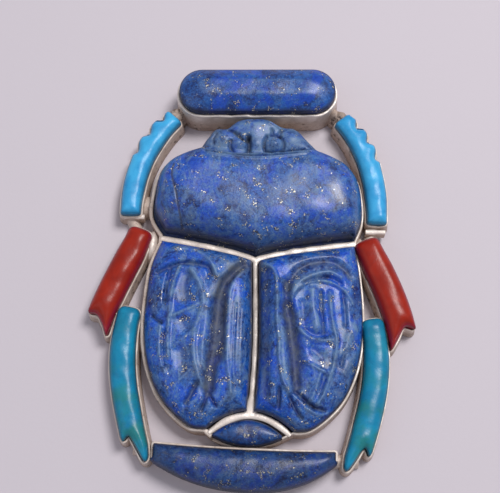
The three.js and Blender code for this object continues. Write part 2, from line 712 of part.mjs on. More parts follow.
// A flat-sided run of solder from one point to another
function joint([ax, ay], [bx, by], width, height) {
  const length = Math.hypot(bx - ax, by - ay);
  const [nx, ny] = [(-(by - ay) / length) * (width / 2), ((bx - ax) / length) * (width / 2)];
  return prism([[ax + nx, ay + ny], [ax - nx, ay - ny], [bx - nx, by - ny], [bx + nx, by + ny]], 0, height);
}

function jointsOnSide(side) {
  const at = Object.fromEntries(
    Object.entries(legEnds(side)).map(([name, [x, y]]) => [name, [side * x + LEGS_OFF_CENTRE, y]]),
  );
  const toBody = ([x, y], drop, width) => {
    return joint([x, y - drop], [side * 0.82 * BODY_HALF_WIDTH, y - drop], width, JOINT_HEIGHT);
  };
  const crescentEnd = [CRESCENT_OFF_CENTRE + side * (CRESCENT_HALF_LENGTH - 1.5), CRESCENT_TOP_Y - 0.8];
  return [
    joint(at.frontRoot, onBar(side * (BAR_LENGTH / 2 - 2), 0), 1.8, BAR_WALL_HEIGHT - 0.9),
    joint(at.frontFoot, at.middleRoot, JOINT_WIDTH, JOINT_HEIGHT),
    toBody(at.frontFoot, -1.5, 3),
    toBody(at.middleRoot, 0.6, 2.4),
    toBody(at.hindRoot, 2, 4),
    joint(at.hindRoot, at.middleFoot, JOINT_WIDTH, JOINT_HEIGHT),
    joint(away(at.hindFoot, 0, -1), crescentEnd, JOINT_WIDTH, JOINT_HEIGHT),
  ];
}

function silverMount() {
  const blocks = stones.map(({ outline, wall, thickness = WALL_THICKNESS }) => {
    return prism(thinned(grown(outline, SIDE_GAP + thickness), 0.03), 0, wall);
  });
  const cells = stones.map(({ outline, wall }) => {
    return prism(thinned(grown(outline, SIDE_GAP), 0.02), PLATE_THICKNESS, wall + 1);
  });
  const neck = joint([0, HEAD_TOP_Y - 2], BAR_MIDDLE, HEAD_HALF_WIDTH, JOINT_HEIGHT);
  const seat = joint([0, TAIL_LOW_Y + 1], [0, CRESCENT_TOP_Y - 1], TAIL_HALF_WIDTH, JOINT_HEIGHT);
  let body = blocks[0];
  [...blocks.slice(1), neck, seat, ...jointsOnSide(LEFT), ...jointsOnSide(RIGHT)].forEach((block) => {
    body = body.add(block);
  });
  cells.forEach((cell) => {
    body = body.subtract(cell);
  });
  const mesh = body.getMesh();
  const geometry = new THREE.BufferGeometry();
  geometry.setAttribute('position', new THREE.Float32BufferAttribute(mesh.vertProperties, 3));
  geometry.setIndex([...mesh.triVerts]);
  return geometry.toNonIndexed();
}

function named(name, geometry, material) {
  geometry.computeVertexNormals();
  const mesh = new THREE.Mesh(geometry, material);
  mesh.name = name;
  return mesh;
}

const pendant = new THREE.Group();
const mount = named('silver_mount', silverMount(), SILVER);
pendant.add(mount);
stones.forEach(({ name, plan, outline, height, material }) => {
  pendant.add(named(name, raised(plan, height(outline), STONE_FOOT), material));
});

mount.geometry.computeBoundingBox();
const middle = mount.geometry.boundingBox.getCenter(new THREE.Vector3());
pendant.position.set(-middle.x, -middle.y, 0);

const amulet = new THREE.Group();
amulet.add(pendant);
amulet.updateMatrixWorld(true);

export default amulet;
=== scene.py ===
# A carved beetle amulet: stones in soldered silver cells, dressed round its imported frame.
import math

import bpy
import numpy as np
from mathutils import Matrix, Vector


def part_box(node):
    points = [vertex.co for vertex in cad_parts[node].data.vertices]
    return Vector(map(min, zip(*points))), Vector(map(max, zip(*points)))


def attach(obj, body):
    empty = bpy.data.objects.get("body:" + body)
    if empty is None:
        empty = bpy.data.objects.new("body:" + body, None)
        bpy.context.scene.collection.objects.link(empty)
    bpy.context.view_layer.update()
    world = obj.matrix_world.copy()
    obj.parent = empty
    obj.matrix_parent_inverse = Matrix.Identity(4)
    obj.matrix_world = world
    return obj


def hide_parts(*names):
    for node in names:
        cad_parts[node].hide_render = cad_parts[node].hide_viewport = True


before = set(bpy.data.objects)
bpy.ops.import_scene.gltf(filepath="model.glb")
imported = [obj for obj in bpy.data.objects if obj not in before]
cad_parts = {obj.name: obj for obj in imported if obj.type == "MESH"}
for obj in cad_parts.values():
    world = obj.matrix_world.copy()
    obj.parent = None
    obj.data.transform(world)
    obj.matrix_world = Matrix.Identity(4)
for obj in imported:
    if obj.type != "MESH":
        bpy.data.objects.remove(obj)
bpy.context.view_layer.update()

bl_info = {
    "name": "Beetle Amulet",
    "version": (1, 0, 0),
    "blender": (4, 5, 0),
    "location": "3D View > Sidebar > Amulet",
    "description": "Carved stones and a soldered silver setting for the amulet's frame",
    "category": "Object",
}

MM = 0.001

# The plan of the frame, in millimetres, with the beetle's middle line at x = 0 and the joint of
# thorax and wing cases at y = 0.
PLATE_THICKNESS = 0.9
WALL_THICKNESS = 0.5
LEG_WALL_THICKNESS = 0.38
STRIP_THICKNESS = 0.75
SIDE_GAP = 0.15
SEAT_GAP = 0.12
BODY_WALL_HEIGHT = 2.6
LEG_WALL_HEIGHT = 2.4
BAR_WALL_HEIGHT = 4.1
CRESCENT_WALL_HEIGHT = 2.6
JOINT_HEIGHT = 1.7
BODY_HALF_WIDTH = 13.4
THORAX_LENGTH = 11.9
HEAD_HALF_WIDTH = 7.8
HEAD_LENGTH = 4.35
WING_LENGTH = 24.7
VEE_DEPTH = 2.8
ARCH_RISE = 2.5
ARCH_HALF_WIDTH = 5.15
TAIL_HALF_WIDTH = 4.1
TAIL_DROP = 1.0
WAIST = {-1: 0.885, 1: 0.925}
STONE_STEP = 0.3
THORAX_DOME = 5.0
HEAD_DOME = 2.5
WING_DOME = 1.9
WING_CROWN = 1.5
TAIL_DOME = 0.9
TAIL_EDGE_REACH = 1.3
TAIL_OFF_CENTRE = -0.25
TAIL_LOWER = 0.2
THORAX_EDGE_REACH = 3.9
NECK_REACH = 5.4
WING_EDGE_REACH = 2.2
BAR_LENGTH = 20.3
BAR_WIDTH = 5.8
BAR_STEP = 1.0
BAR_DOME = 1.3
BAR_EDGE_REACH = 1.8
BAR_TURN = math.radians(2.1)
BAR_OFF_CENTRE = -0.5
CRESCENT_HALF_LENGTH = 10.8
CRESCENT_DEPTH = 4.3
CRESCENT_DOME = 1.7
CRESCENT_EDGE_REACH = 1.9
CRESCENT_SKEW = 0.08
CRESCENT_OFF_CENTRE = -0.55
CRESCENT_BLUNT = (1.6, 1.0)
FRONT_LEG_WIDTH = 2.6
MIDDLE_LEG_WIDTH = {-1: 3.1, 1: 3.25}
HIND_LEG_WIDTH = 2.9
TURQUOISE_DOME = 1.2
CORAL_DOME = 1.5
TOOTH_DEPTH = 0.75
TOOTH_SHALLOWER = 0.12
TOOTH_RISE = 0.2
TOOTH_PITCH = {-1: 2.7, 1: 2.4}
TOOTH_START = {-1: 1.35, 1: 0.2}
LEGS_OFF_CENTRE = -0.35
RIGHT_FRONT_LEG_LOWER = 0.2
RIGHT_MIDDLE_LEG_LOWER = 0.6
RIGHT_MIDDLE_LEG_BOW = 0.3
RIGHT_HIND_ROOT_LOWER = 0.48
RIGHT_HIND_FOOT_LOWER = 0.6

STRIP_HALF = STRIP_THICKNESS / 2 + SIDE_GAP
STONE_FOOT = PLATE_THICKNESS + SEAT_GAP
HEAD_TOP_Y = THORAX_LENGTH + HEAD_LENGTH
BAR_MIDDLE = np.array([BAR_OFF_CENTRE, HEAD_TOP_Y + 2 * SIDE_GAP + WALL_THICKNESS + BAR_WIDTH / 2])
TAIL_LOW_Y = -WING_LENGTH - TAIL_DROP
CRESCENT_TOP_Y = TAIL_LOW_Y - 2 * SIDE_GAP - WALL_THICKNESS
LEFT, RIGHT = -1, 1

# Where the plan's own zero lies in the frame
PLAN_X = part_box("lapis_left_wing_case")[1][0] / MM + STRIP_HALF
PLAN_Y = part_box("lapis_tail")[0][1] / MM - TAIL_LOW_Y


# Numbers and curves

def mix(a, b, t):
    return a + (b - a) * t


def smooth(t):
    t = np.clip(t, 0, 1)
    return t * t * (3 - 2 * t)


def roll(distance, reach):
    """Quarter round: 0 at the edge, 1 from reach inwards."""
    return np.sqrt(1 - (1 - np.clip(distance / reach, 0, 1)) ** 2)


def spline(points, t):
    """Cubic through the points: each span leaves and reaches its ends with half the step between their neighbours."""
    points = np.asarray(points, float)
    last = len(points) - 1
    place = last * np.clip(t, 0, 1)
    i = np.minimum(np.floor(place).astype(int), last)
    w = (place - i)[:, None]
    p0 = points[np.where(i == 0, i, i - 1)]
    p1 = points[i]
    p2 = points[np.where(i > last - 1, last, i + 1)]
    p3 = points[np.where(i > last - 2, last, i + 2)]
    v0, v1 = (p2 - p0) / 2, (p3 - p1) / 2
    return ((2 * p1 - 2 * p2 + v0 + v1) * w + (-3 * p1 + 3 * p2 - 2 * v0 - v1)) * w * w + v0 * w + p1


def bezier(path, t):
    """Point and unit direction of the cubic with four control points."""
    a, b, c, d = (np.asarray(p, float) for p in path)
    t = np.asarray(t, float)[:, None]
    s = 1 - t
    point = a * s**3 + 3 * b * s * s * t + 3 * c * s * t * t + d * t**3
    along = 3 * (b - a) * s * s + 6 * (c - b) * s * t + 3 * (d - c) * t * t
    return point, along / np.linalg.norm(along, axis=1)[:, None]


def evenly(points, count, closed=True):
    """The same line with count points at even distances along it."""
    line = np.vstack([points, points[:1]]) if closed else points
    run = np.concatenate([[0], np.cumsum(np.linalg.norm(np.diff(line, axis=0), axis=1))])
    at = np.linspace(0, run[-1], count, endpoint=not closed)
    return np.stack([np.interp(at, run, line[:, k]) for k in range(line.shape[1])], axis=1)


def anticlockwise(points):
    x, y = points.T
    return points if np.sum(x * np.roll(y, -1) - np.roll(x, -1) * y) > 0 else points[::-1]


def nearest(points, line, closed):
    """Distance to the line and the nearest point on it, for every point."""
    start = np.asarray(line, float)
    end = np.roll(start, -1, axis=0) if closed else start[1:]
    start = start if closed else start[:-1]
    step = end - start
    size = np.maximum((step**2).sum(1), 1e-12)
    gaps, feet = [], []
    for part in np.array_split(points, max(1, len(points) // 4000)):
        off = part[:, None] - start[None]
        t = np.clip((off * step).sum(2) / size, 0, 1)
        foot = start + t[..., None] * step
        gap = ((part[:, None] - foot) ** 2).sum(2)
        best = gap.argmin(1)
        row = np.arange(len(part))
        gaps.append(np.sqrt(gap[row, best]))
        feet.append(foot[row, best])
    return np.concatenate(gaps), np.concatenate(feet)


def soft_distance(points, outline):
    """Distance that stays smooth in a stone's middle: the root of 2 over the sum of length / distance cubed
    of all the outline's segments, and never more than the plain distance."""
    start = np.asarray(outline, float)
    step = np.roll(start, -1, axis=0) - start
    length = np.linalg.norm(step, axis=1)
    size = np.maximum(length**2, 1e-12)
    soft = []
    for part in np.array_split(points, max(1, len(points) // 4000)):
        off = part[:, None] - start[None]
        t = np.clip((off * step).sum(2) / size, 0, 1)
        gap = np.linalg.norm(off - t[..., None] * step, axis=2)
        least = gap.min(1)
        gap = np.maximum(np.maximum(gap, length / 2), 1e-3)
        soft.append(np.minimum(np.sqrt(2 / (length / gap**3).sum(1)), least))
    return np.concatenate(soft)


def outward(outline):
    """Unit directions square to an anticlockwise outline, pointing out of it."""
    ahead = np.roll(outline, -1, axis=0) - np.roll(outline, 1, axis=0)
    normal = np.stack([ahead[:, 1], -ahead[:, 0]], axis=1)
    return normal / np.maximum(np.linalg.norm(normal, axis=1), 1e-9)[:, None]


def facing(outline, direction, low=0.1, high=0.6):
    """0 to 1 for how far each place of an outline faces a direction."""
    return smooth((outward(outline) @ np.asarray(direction, float) - low) / (high - low))


def grown(outline, grow, start=None, rounds=6):
    """The line at distance grow outside the outline: points are pushed out, evened and put back at that distance."""
    grow = np.broadcast_to(grow, (len(outline),))
    moved = outline + grow[:, None] * outward(outline) if start is None else start
    for _ in range(rounds):
        moved = 0.5 * moved + 0.25 * (np.roll(moved, 1, axis=0) + np.roll(moved, -1, axis=0))
        gap, foot = nearest(moved, outline, True)
        moved = foot + (moved - foot) * (grow / np.maximum(gap, 1e-6))[:, None]
    return moved


def ripple(x, y, size, seed):
    """Gentle unevenness between about -1 and 1: seven sine waves in seeded directions."""
    rng = np.random.default_rng(seed)
    total = np.zeros(np.broadcast(x, y).shape)
    for _ in range(7):
        angle, phase = rng.uniform(0, 2 * np.pi, 2)
        wave = 2 * np.pi / (size * rng.uniform(0.6, 1.7))
        total = total + np.sin(wave * (x * np.cos(angle) + y * np.sin(angle)) + phase)
    return total / 3.2


# Plan curves of the stones

def vee_line(x):
    return -VEE_DEPTH * (1 - (np.abs(x) / BODY_HALF_WIDTH) ** 0.68)


def arch_line(x):
    return ARCH_RISE - WING_LENGTH - ARCH_RISE * (x / ARCH_HALF_WIDTH) ** 2


def strip(line, x):
    """How far a stone's edge lies from such a middle line, measured along y."""
    slope = np.clip((line(x + 0.1) - line(x - 0.1)) / 0.2, -1, 1)
    return STRIP_HALF * np.hypot(1, slope)


THORAX_SIDE = [(0.985, 0.22), (0.987, 0.45), (0.945, 0.69), (0.84, 0.85), (0.7, 0.94)]
HEAD_SIDE = {
    LEFT: [
        (0.99, 0), (0.9, 0.24), (0.83, 0.43), (0.76, 0.59), (0.68, 0.64), (0.56, 0.64), (0.47, 0.78),
        (0.38, 0.91), (0.23, 0.985), (0.077, 1),
    ],
    RIGHT: [
        (1, 0), (0.86, 0.23), (0.76, 0.41), (0.675, 0.585), (0.555, 0.72), (0.435, 0.73), (0.33, 0.79),
        (0.2, 0.93), (0.08, 0.99), (-0.077, 1),
    ],
}
WING_SIDE = [
    (0.965, 0.16), (0.995, 0.32), (1, 0.49), (0.955, 0.65), (0.855, 0.79), (0.72, 0.885), (0.54, 0.96),
]


def thorax_flank(side, count):
    """The outer edge of thorax and head from the waist to the middle of the brow."""
    corner = WAIST[side] * BODY_HALF_WIDTH
    points = [(corner, 0.03 * THORAX_LENGTH)]
    points += [(x * BODY_HALF_WIDTH, y * THORAX_LENGTH) for x, y in THORAX_SIDE]
    points += [(x * HEAD_HALF_WIDTH, THORAX_LENGTH + y * HEAD_LENGTH) for x, y in HEAD_SIDE[side]]
    return spline(points, np.linspace(0, 1, count)) * (side, 1)


def thorax_outline():
    halves = {}
    for side in (LEFT, RIGHT):
        corner = WAIST[side] * BODY_HALF_WIDTH
        x = corner * np.linspace(0, 1, 60, endpoint=False) ** 1.2
        lower = np.stack([side * x, vee_line(x) + strip(vee_line, x)], axis=1)
        halves[side] = np.vstack([lower, thorax_flank(side, 140)])
    return np.vstack([halves[RIGHT], halves[LEFT][1:-1][::-1]])


def wing_flank(side, t):
    corner = WAIST[side] * BODY_HALF_WIDTH
    points = [(corner, vee_line(corner) - strip(vee_line, corner))]
    points += [(x * BODY_HALF_WIDTH, -y * WING_LENGTH) for x, y in WING_SIDE]
    points += [(ARCH_HALF_WIDTH, arch_line(ARCH_HALF_WIDTH) + strip(arch_line, ARCH_HALF_WIDTH))]
    return spline(points, t) * (side, 1)


def tail_top(x):
    return arch_line(x) - strip(arch_line, x) - TAIL_LOWER


def tail_lower_edge(count):
    x = np.linspace(-TAIL_HALF_WIDTH, TAIL_HALF_WIDTH, count)
    y = mix(TAIL_LOW_Y, tail_top(TAIL_HALF_WIDTH), (x / TAIL_HALF_WIDTH) ** 2)
    return np.stack([x + TAIL_OFF_CENTRE, y], axis=1)


def tail_outline():
    x = np.linspace(TAIL_HALF_WIDTH, -TAIL_HALF_WIDTH, 91)[:-1]
    return np.vstack([np.stack([x + TAIL_OFF_CENTRE, tail_top(x)], axis=1), tail_lower_edge(91)[:-1]])


def crescent_outline():
    def top_edge(share):
        return CRESCENT_TOP_Y + 0.25 * share * share - 0.15 * share

    share = np.linspace(1, -1, 130)
    upper = np.stack([CRESCENT_OFF_CENTRE + share * CRESCENT_HALF_LENGTH, top_edge(share)], axis=1)
    share = -np.cos(np.pi * np.linspace(0, 1, 170))
    low = CRESCENT_TOP_Y - CRESCENT_DEPTH
    reach = np.where(share < CRESCENT_SKEW, 1 + CRESCENT_SKEW, 1 - CRESCENT_SKEW)
    blunt = mix(*CRESCENT_BLUNT, (share + 1) / 2)
    y = mix(low, top_edge(share) - blunt, np.abs((share - CRESCENT_SKEW) / reach) ** 2.2)
    lower = np.stack([CRESCENT_OFF_CENTRE + share * CRESCENT_HALF_LENGTH, y], axis=1)
    return np.vstack([upper, lower])


def on_bar(x, y):
    c, s = math.cos(BAR_TURN), math.sin(BAR_TURN)
    return BAR_MIDDLE + np.stack([c * x - s * y, s * x + c * y], axis=-1)


def bar_outline():
    radius = BAR_WIDTH / 2
    straight = BAR_LENGTH / 2 - radius
    angle = np.linspace(-np.pi / 2, np.pi / 2, 60)
    run = np.linspace(straight, -straight, 50)[1:-1]
    ends = [(e * (straight + radius * np.cos(angle)), e * radius * np.sin(angle)) for e in (1, -1)]
    runs = [(e * run, np.full(run.shape, e * radius)) for e in (1, -1)]
    return np.vstack([on_bar(*line) for pair in zip(ends, runs) for line in pair])


# Legs: a bar along a curve, its outer edge, root and foot shaped by functions. The foot lists, from
# the outer to the inner edge, the place across in half widths and the reach past the curve's end.
SQUARE_FOOT = [(0.9, 0), (0.8, 0.2), (0.4, 0.3), (0, 0.3), (-0.4, 0.3), (-0.8, 0.2), (-0.9, 0)]
CORAL_TOES = {
    LEFT: [(1, 0.0), (0.9, 0.4), (0.3, 0.35), (-0.35, 1.3), (-0.92, 2.4), (-0.95, 1.3), (-0.9, 0.2)],
    RIGHT: [(1, -0.2), (0.96, 0.35), (0.3, -0.1), (-0.35, 1.2), (-1.05, 2.4), (-1.0, 1.3), (-0.95, 0.2)],
}
HIND_TOES = {
    LEFT: [(1, -0.4), (0.86, 0.1), (0.36, -0.3), (0.0, 1.4), (-0.3, 3.0), (-0.68, 2.75), (-0.9, 1.2)],
    RIGHT: [(1, -0.4), (0.86, 0.25), (0.36, -0.5), (0.0, 1.2), (-0.35, 2.7), (-0.7, 2.5), (-0.9, 1.1)],
}


def leg_ends(side):
    """Roots and feet of the three legs, with x growing outwards on both sides."""
    right = 1 if side == RIGHT else 0
    foot_y = 0.27 * THORAX_LENGTH - right * RIGHT_FRONT_LEG_LOWER
    places = {
        "front_root": (BAR_LENGTH / 2 + mix(1.1, 1.2, right), BAR_MIDDLE[1] - BAR_WIDTH / 2 - mix(0.6, 0.2, right)),
        "front_foot": (BODY_HALF_WIDTH + mix(2.5, 2.3, right), foot_y),
        "middle_root": (BODY_HALF_WIDTH + 1.1, foot_y - mix(3.35, 3.65, right)),
        "middle_foot": (BODY_HALF_WIDTH + mix(5.0, 5.1, right), -0.415 * WING_LENGTH - right * RIGHT_MIDDLE_LEG_LOWER),
        "hind_root": (BODY_HALF_WIDTH + 1.8, -0.427 * WING_LENGTH - right * RIGHT_HIND_ROOT_LOWER),
        "hind_foot": (
            CRESCENT_HALF_LENGTH + CRESCENT_OFF_CENTRE + 3.25, CRESCENT_TOP_Y + 1.2 - right * RIGHT_HIND_FOOT_LOWER),
    }
    return {name: np.array(place) for name, place in places.items()}


def notches(side, distance):
    """Three rounded teeth that stand out from the edge, with a notch below each."""
    count = (distance + TOOTH_START[side]) / TOOTH_PITCH[side]
    number = np.floor(count)
    share = count - number
    past = (1 - smooth(share / 0.26)) * (number >= 1) * (number <= 3)
    cut = np.maximum(smooth((share - 0.42) / 0.52) * (number < 3), past)
    return (TOOTH_DEPTH - TOOTH_SHALLOWER * np.minimum(number, 2)) * cut - TOOTH_RISE * (1 - smooth(count - 2.7))


def leg_path(side, kind):
    """Control points of the leg's curve, its width, how far its root reaches back, and its foot."""
    ends = leg_ends(side)
    root, foot = ends[kind + "_root"], ends[kind + "_foot"]
    if kind == "front":
        return [root, root + (3.0, -3.4), foot + (0.1, 5.8), foot], FRONT_LEG_WIDTH, 0.4, SQUARE_FOOT
    if kind == "middle":
        bow = RIGHT_MIDDLE_LEG_BOW if side == RIGHT else 0
        path = [root, root + (1.1 + bow, -3.2), foot + (bow - 1.2, 4.0), foot]
        return path, MIDDLE_LEG_WIDTH[side], 1.0, CORAL_TOES[side]
    return [root, root + (0.9, -5.0), foot + (1.9, 6.0), foot], HIND_LEG_WIDTH, 1.1, HIND_TOES[side]


def crowded(count, share=0.6):
    """Parameters from 0 to 1 that lie closer together at both ends."""
    t = np.linspace(0, 1, count)
    return mix(t, 0.5 - 0.5 * np.cos(np.pi * t), share)


def patch(near, far, left, right):
    """A grid stretched between four edges: both ruled sheets added, less the one through the corners."""
    u = crowded(len(near))[None, :, None]
    v = crowded(len(left))[:, None, None]
    ruled = (1 - v) * near[None] + v * far[None] + (1 - u) * left[:, None] + u * right[:, None]
    corners = (1 - v) * ((1 - u) * near[0] + u * near[-1]) + v * ((1 - u) * far[0] + u * far[-1])
    return ruled - corners


def leg_grid(side, kind, lip=0.0, outer_lip=None, across=41, along=200):
    """The leg's plan as a grid from root to foot. A lip widens it all round, and its outer edge by outer_lip."""
    path, width, root_reach, foot = leg_path(side, kind)
    length = np.linalg.norm(np.diff(bezier(path, np.linspace(0, 1, 200))[0], axis=0), axis=1).sum()
    outer_lip = lip if outer_lip is None else outer_lip

    def place(t, out, past):
        point, ahead = bezier(path, np.broadcast_to(t, np.shape(out)))
        x = point[:, 0] - ahead[:, 1] * out + ahead[:, 0] * past
        y = point[:, 1] + ahead[:, 0] * out + ahead[:, 1] * past
        return np.stack([side * x + LEGS_OFF_CENTRE, y], axis=1)

    def half(t):
        return width / 2 * (0.9 + 0.1 * smooth(t * 3))

    u, v = crowded(across), crowded(along)
    out = 1 - 2 * u
    widen = mix(outer_lip, -lip, u)
    root = place(0, half(0) * out + widen, -lip - root_reach * np.sqrt(np.maximum(0, 1 - out**4)))
    toes = spline(foot, u)
    end = place(1, half(1) * toes[:, 0] + widen, toes[:, 1] + lip)
    to_end = smooth((v - 0.75) * 4)
    notch = notches(side, v * length) * smooth(v * length / 1.2) if kind == "front" else 0
    back = mix(-lip, lip, v)
    outer = place(v, half(v) * mix(1, foot[0][0], to_end) - notch + outer_lip, mix(0, foot[0][1], to_end) + back)
    inner = place(v, -half(v) * mix(1, -foot[-1][0], to_end) - lip, mix(0, foot[-1][1], to_end) + back)
    return patch(root, end, outer, inner)


def spine_bow(y):
    """How far the strip between the wing cases bows to the right."""
    return 0.33 * np.sin(np.pi * np.clip((vee_line(0.0) - y) / (vee_line(0.0) - arch_line(0.0)), 0, 1) ** 1.2)


def wing_grid(side, lip=0.0, across=150, along=260):
    u, v = crowded(across), crowded(along)
    corner = WAIST[side] * BODY_HALF_WIDTH
    near = STRIP_HALF - lip
    x = mix(near, corner, u)
    top = np.stack([side * (x + lip * u), vee_line(x) - strip(vee_line, x) + lip], axis=1)
    x = mix(near, ARCH_HALF_WIDTH, u)
    arch = np.stack([side * (x + lip * u), arch_line(x) + strip(arch_line, x) - lip], axis=1)
    y = mix(top[0, 1], arch[0, 1], v)
    spine = np.stack([side * near + spine_bow(y) * np.sin(np.pi * v) ** 0.2, y], axis=1)
    flank = wing_flank(side, v) + np.stack([np.full(along, side * lip), mix(lip, -lip, v)], axis=1)
    return patch(top, arch, spine, flank)


# Meshes

def in_frame(points):
    """Plan millimetres to the frame's metres."""
    return (points + (PLAN_X, PLAN_Y, 0)) * MM


def loop_quads(first, rows, columns, closed):
    """Quads between neighbouring rows of a grid whose points are numbered from first."""
    j, i = np.meshgrid(np.arange(rows - 1), np.arange(columns if closed else columns - 1), indexing="ij")
    a = first + j * columns + i
    b = first + j * columns + (i + 1) % columns
    return np.stack([a, b, b + columns, a + columns], axis=-1).reshape(-1, 4)


class Shell:
    """Points, faces and point values gathered for one mesh."""

    def __init__(self):
        self.points, self.values, self.loops, self.sizes, self.count = [], {}, [], [], 0

    def add_points(self, points, **values):
        first = self.count
        points = np.asarray(points, float).reshape(-1, 3)
        self.points.append(points)
        self.count += len(points)
        for name, value in values.items():
            self.values.setdefault(name, []).append(np.broadcast_to(np.ravel(value), (len(points),)))
        return first

    def add_faces(self, faces):
        faces = np.asarray(faces)
        self.loops.append(faces.ravel())
        self.sizes.append(np.full(len(faces), faces.shape[1]))

    def build(self, name, finish, nodes=(), sharp=50):
        mesh = bpy.data.meshes.new(name)
        points, loops, sizes = np.vstack(self.points), np.concatenate(self.loops), np.concatenate(self.sizes)
        mesh.vertices.add(len(points))
        mesh.vertices.foreach_set("co", in_frame(points).astype(np.float32).ravel())
        mesh.loops.add(len(loops))
        mesh.loops.foreach_set("vertex_index", loops.astype(np.int32))
        mesh.polygons.add(len(sizes))
        starts = np.concatenate([[0], np.cumsum(sizes)[:-1]])
        mesh.polygons.foreach_set("loop_start", starts.astype(np.int32))
        mesh.update(calc_edges=True)
        mesh.validate()
        mesh.polygons.foreach_set("use_smooth", np.ones(len(sizes), bool))
        mesh.set_sharp_from_angle(angle=math.radians(sharp))
        for key, parts in self.values.items():
            layer = mesh.attributes.new(key, "FLOAT", "POINT")
            layer.data.foreach_set("value", np.concatenate(parts).astype(np.float32))
        mesh.materials.append(finish)
        piece = bpy.data.objects.new(name, mesh)
        bpy.context.scene.collection.objects.link(piece)
        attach(piece, "root")
        if nodes:
            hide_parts(*nodes)
        return piece


def raise_rings(shell, outline, lip, centre, height, rings, ledge):
    """A stone from rings of its outline drawn in towards a centre. Its top reaches past the outline by the lip."""
    count = len(outline)
    edge = outline + outward(outline) * np.broadcast_to(lip, (count,))[:, None]
    share = 1 - (np.arange(rings) / rings) ** 1.35
    flat = centre + (edge - centre)[None] * share[:, None, None]
    flat = np.vstack([flat.reshape(-1, 2), [centre]])
    z, values = height(flat, edge)
    first = shell.add_points(np.column_stack([flat, z]), **values)
    shell.add_faces(loop_quads(first, rings, count, True))
    inner = first + (rings - 1) * count + np.arange(count)
    shell.add_faces(np.stack([inner, np.roll(inner, -1), np.full(count, first + rings * count)], axis=1))
    close_below(shell, first + np.arange(count), edge, outline, ledge)


def raise_grid(shell, grid, foot, height, ledge):
    """A stone from a stretched grid. The rim of a second grid of the same size gives its foot."""
    a, b, c = grid[0, 0], grid[0, -1], grid[-1, 0]
    if (b[0] - a[0]) * (c[1] - a[1]) - (b[1] - a[1]) * (c[0] - a[0]) < 0:
        grid, foot = grid[:, ::-1], foot[:, ::-1]
    rows, columns = grid.shape[:2]
    flat = grid.reshape(-1, 2)
    z, values = height(flat, border(grid)[::2])
    first = shell.add_points(np.column_stack([flat, z]), **values)
    shell.add_faces(loop_quads(first, rows, columns, False))
    number = np.arange(rows * columns).reshape(rows, columns)
    close_below(shell, first + border(number), border(grid), border(foot), ledge)


def close_below(shell, rim, edge, foot, ledge):
    """Carries a stone's rim down to the ledge, in under its lip and down to the foot, and closes the underside."""
    count = len(rim)
    upper = rim
    for flat, low in ((edge, ledge), (foot, ledge), (foot, STONE_FOOT)):
        points = np.column_stack([flat, np.broadcast_to(low, (count,))])
        # The stone's sides below its rim get the full recess: painted shade under the lip.
        lower = shell.add_points(points, recess=1.0, ridge=0.0) + np.arange(count)
        shell.add_faces(np.stack([upper, lower, np.roll(lower, -1), np.roll(upper, -1)], axis=1))
        upper = lower
    shell.add_faces(upper[None, ::-1])


def border(grid):
    """The outermost points of a grid, once round."""
    return np.concatenate([grid[0, :-1], grid[:-1, -1], grid[-1, :0:-1], grid[:0:-1, 0]])


def rim_of(grid):
    return anticlockwise(border(grid))


# Heights. Each returns the height over the plan and the point values "recess" and "ridge". The finishes darken the
# recess with dirt and painted shade, and pale the ridge with wear and painted sheen.

def line_relief(flat, carving):
    """Sum of carved lines: each falls off as a bell on both sides of a curve through a few points."""
    cut, rise = np.zeros(len(flat)), np.zeros(len(flat))
    for points, width, depth in carving:
        curve = spline(np.asarray(points, float), np.linspace(0, 1, 10 * len(points)))
        gap, _ = nearest(flat, curve, False)
        bell = depth * np.exp(-((gap / width) ** 2))
        cut += np.minimum(bell, 0)
        rise += np.maximum(bell, 0)
    return cut, rise


def domed(girdle, dome, reach, seed, unevenness=0.04, bevel=0.0):
    """A cabochon: the quarter round of the soft distance to the edge, or by bevel a straight slope with a soft
    arris, with gentle waves."""
    def height(flat, edge_line):
        edge = soft_distance(flat, edge_line)
        slope = 1 - np.logaddexp(0, 14 * (1 - edge / reach)) / 14
        wave = unevenness * ripple(flat[:, 0], flat[:, 1], 3.0, seed) * np.clip(edge, 0, 1)
        z = girdle + dome * mix(roll(edge, reach), slope, bevel) + wave
        # The arris value is a painted highlight along the bevel's upper edge; the recess is painted shade along the
        # stone's edge.
        arris = 0.55 * bevel * np.exp(-(((edge - 1.02 * reach) / 0.13) ** 2))
        return z, {"recess": 0.8 * np.exp(-((edge / 0.22) ** 2)), "ridge": arris}
    return height


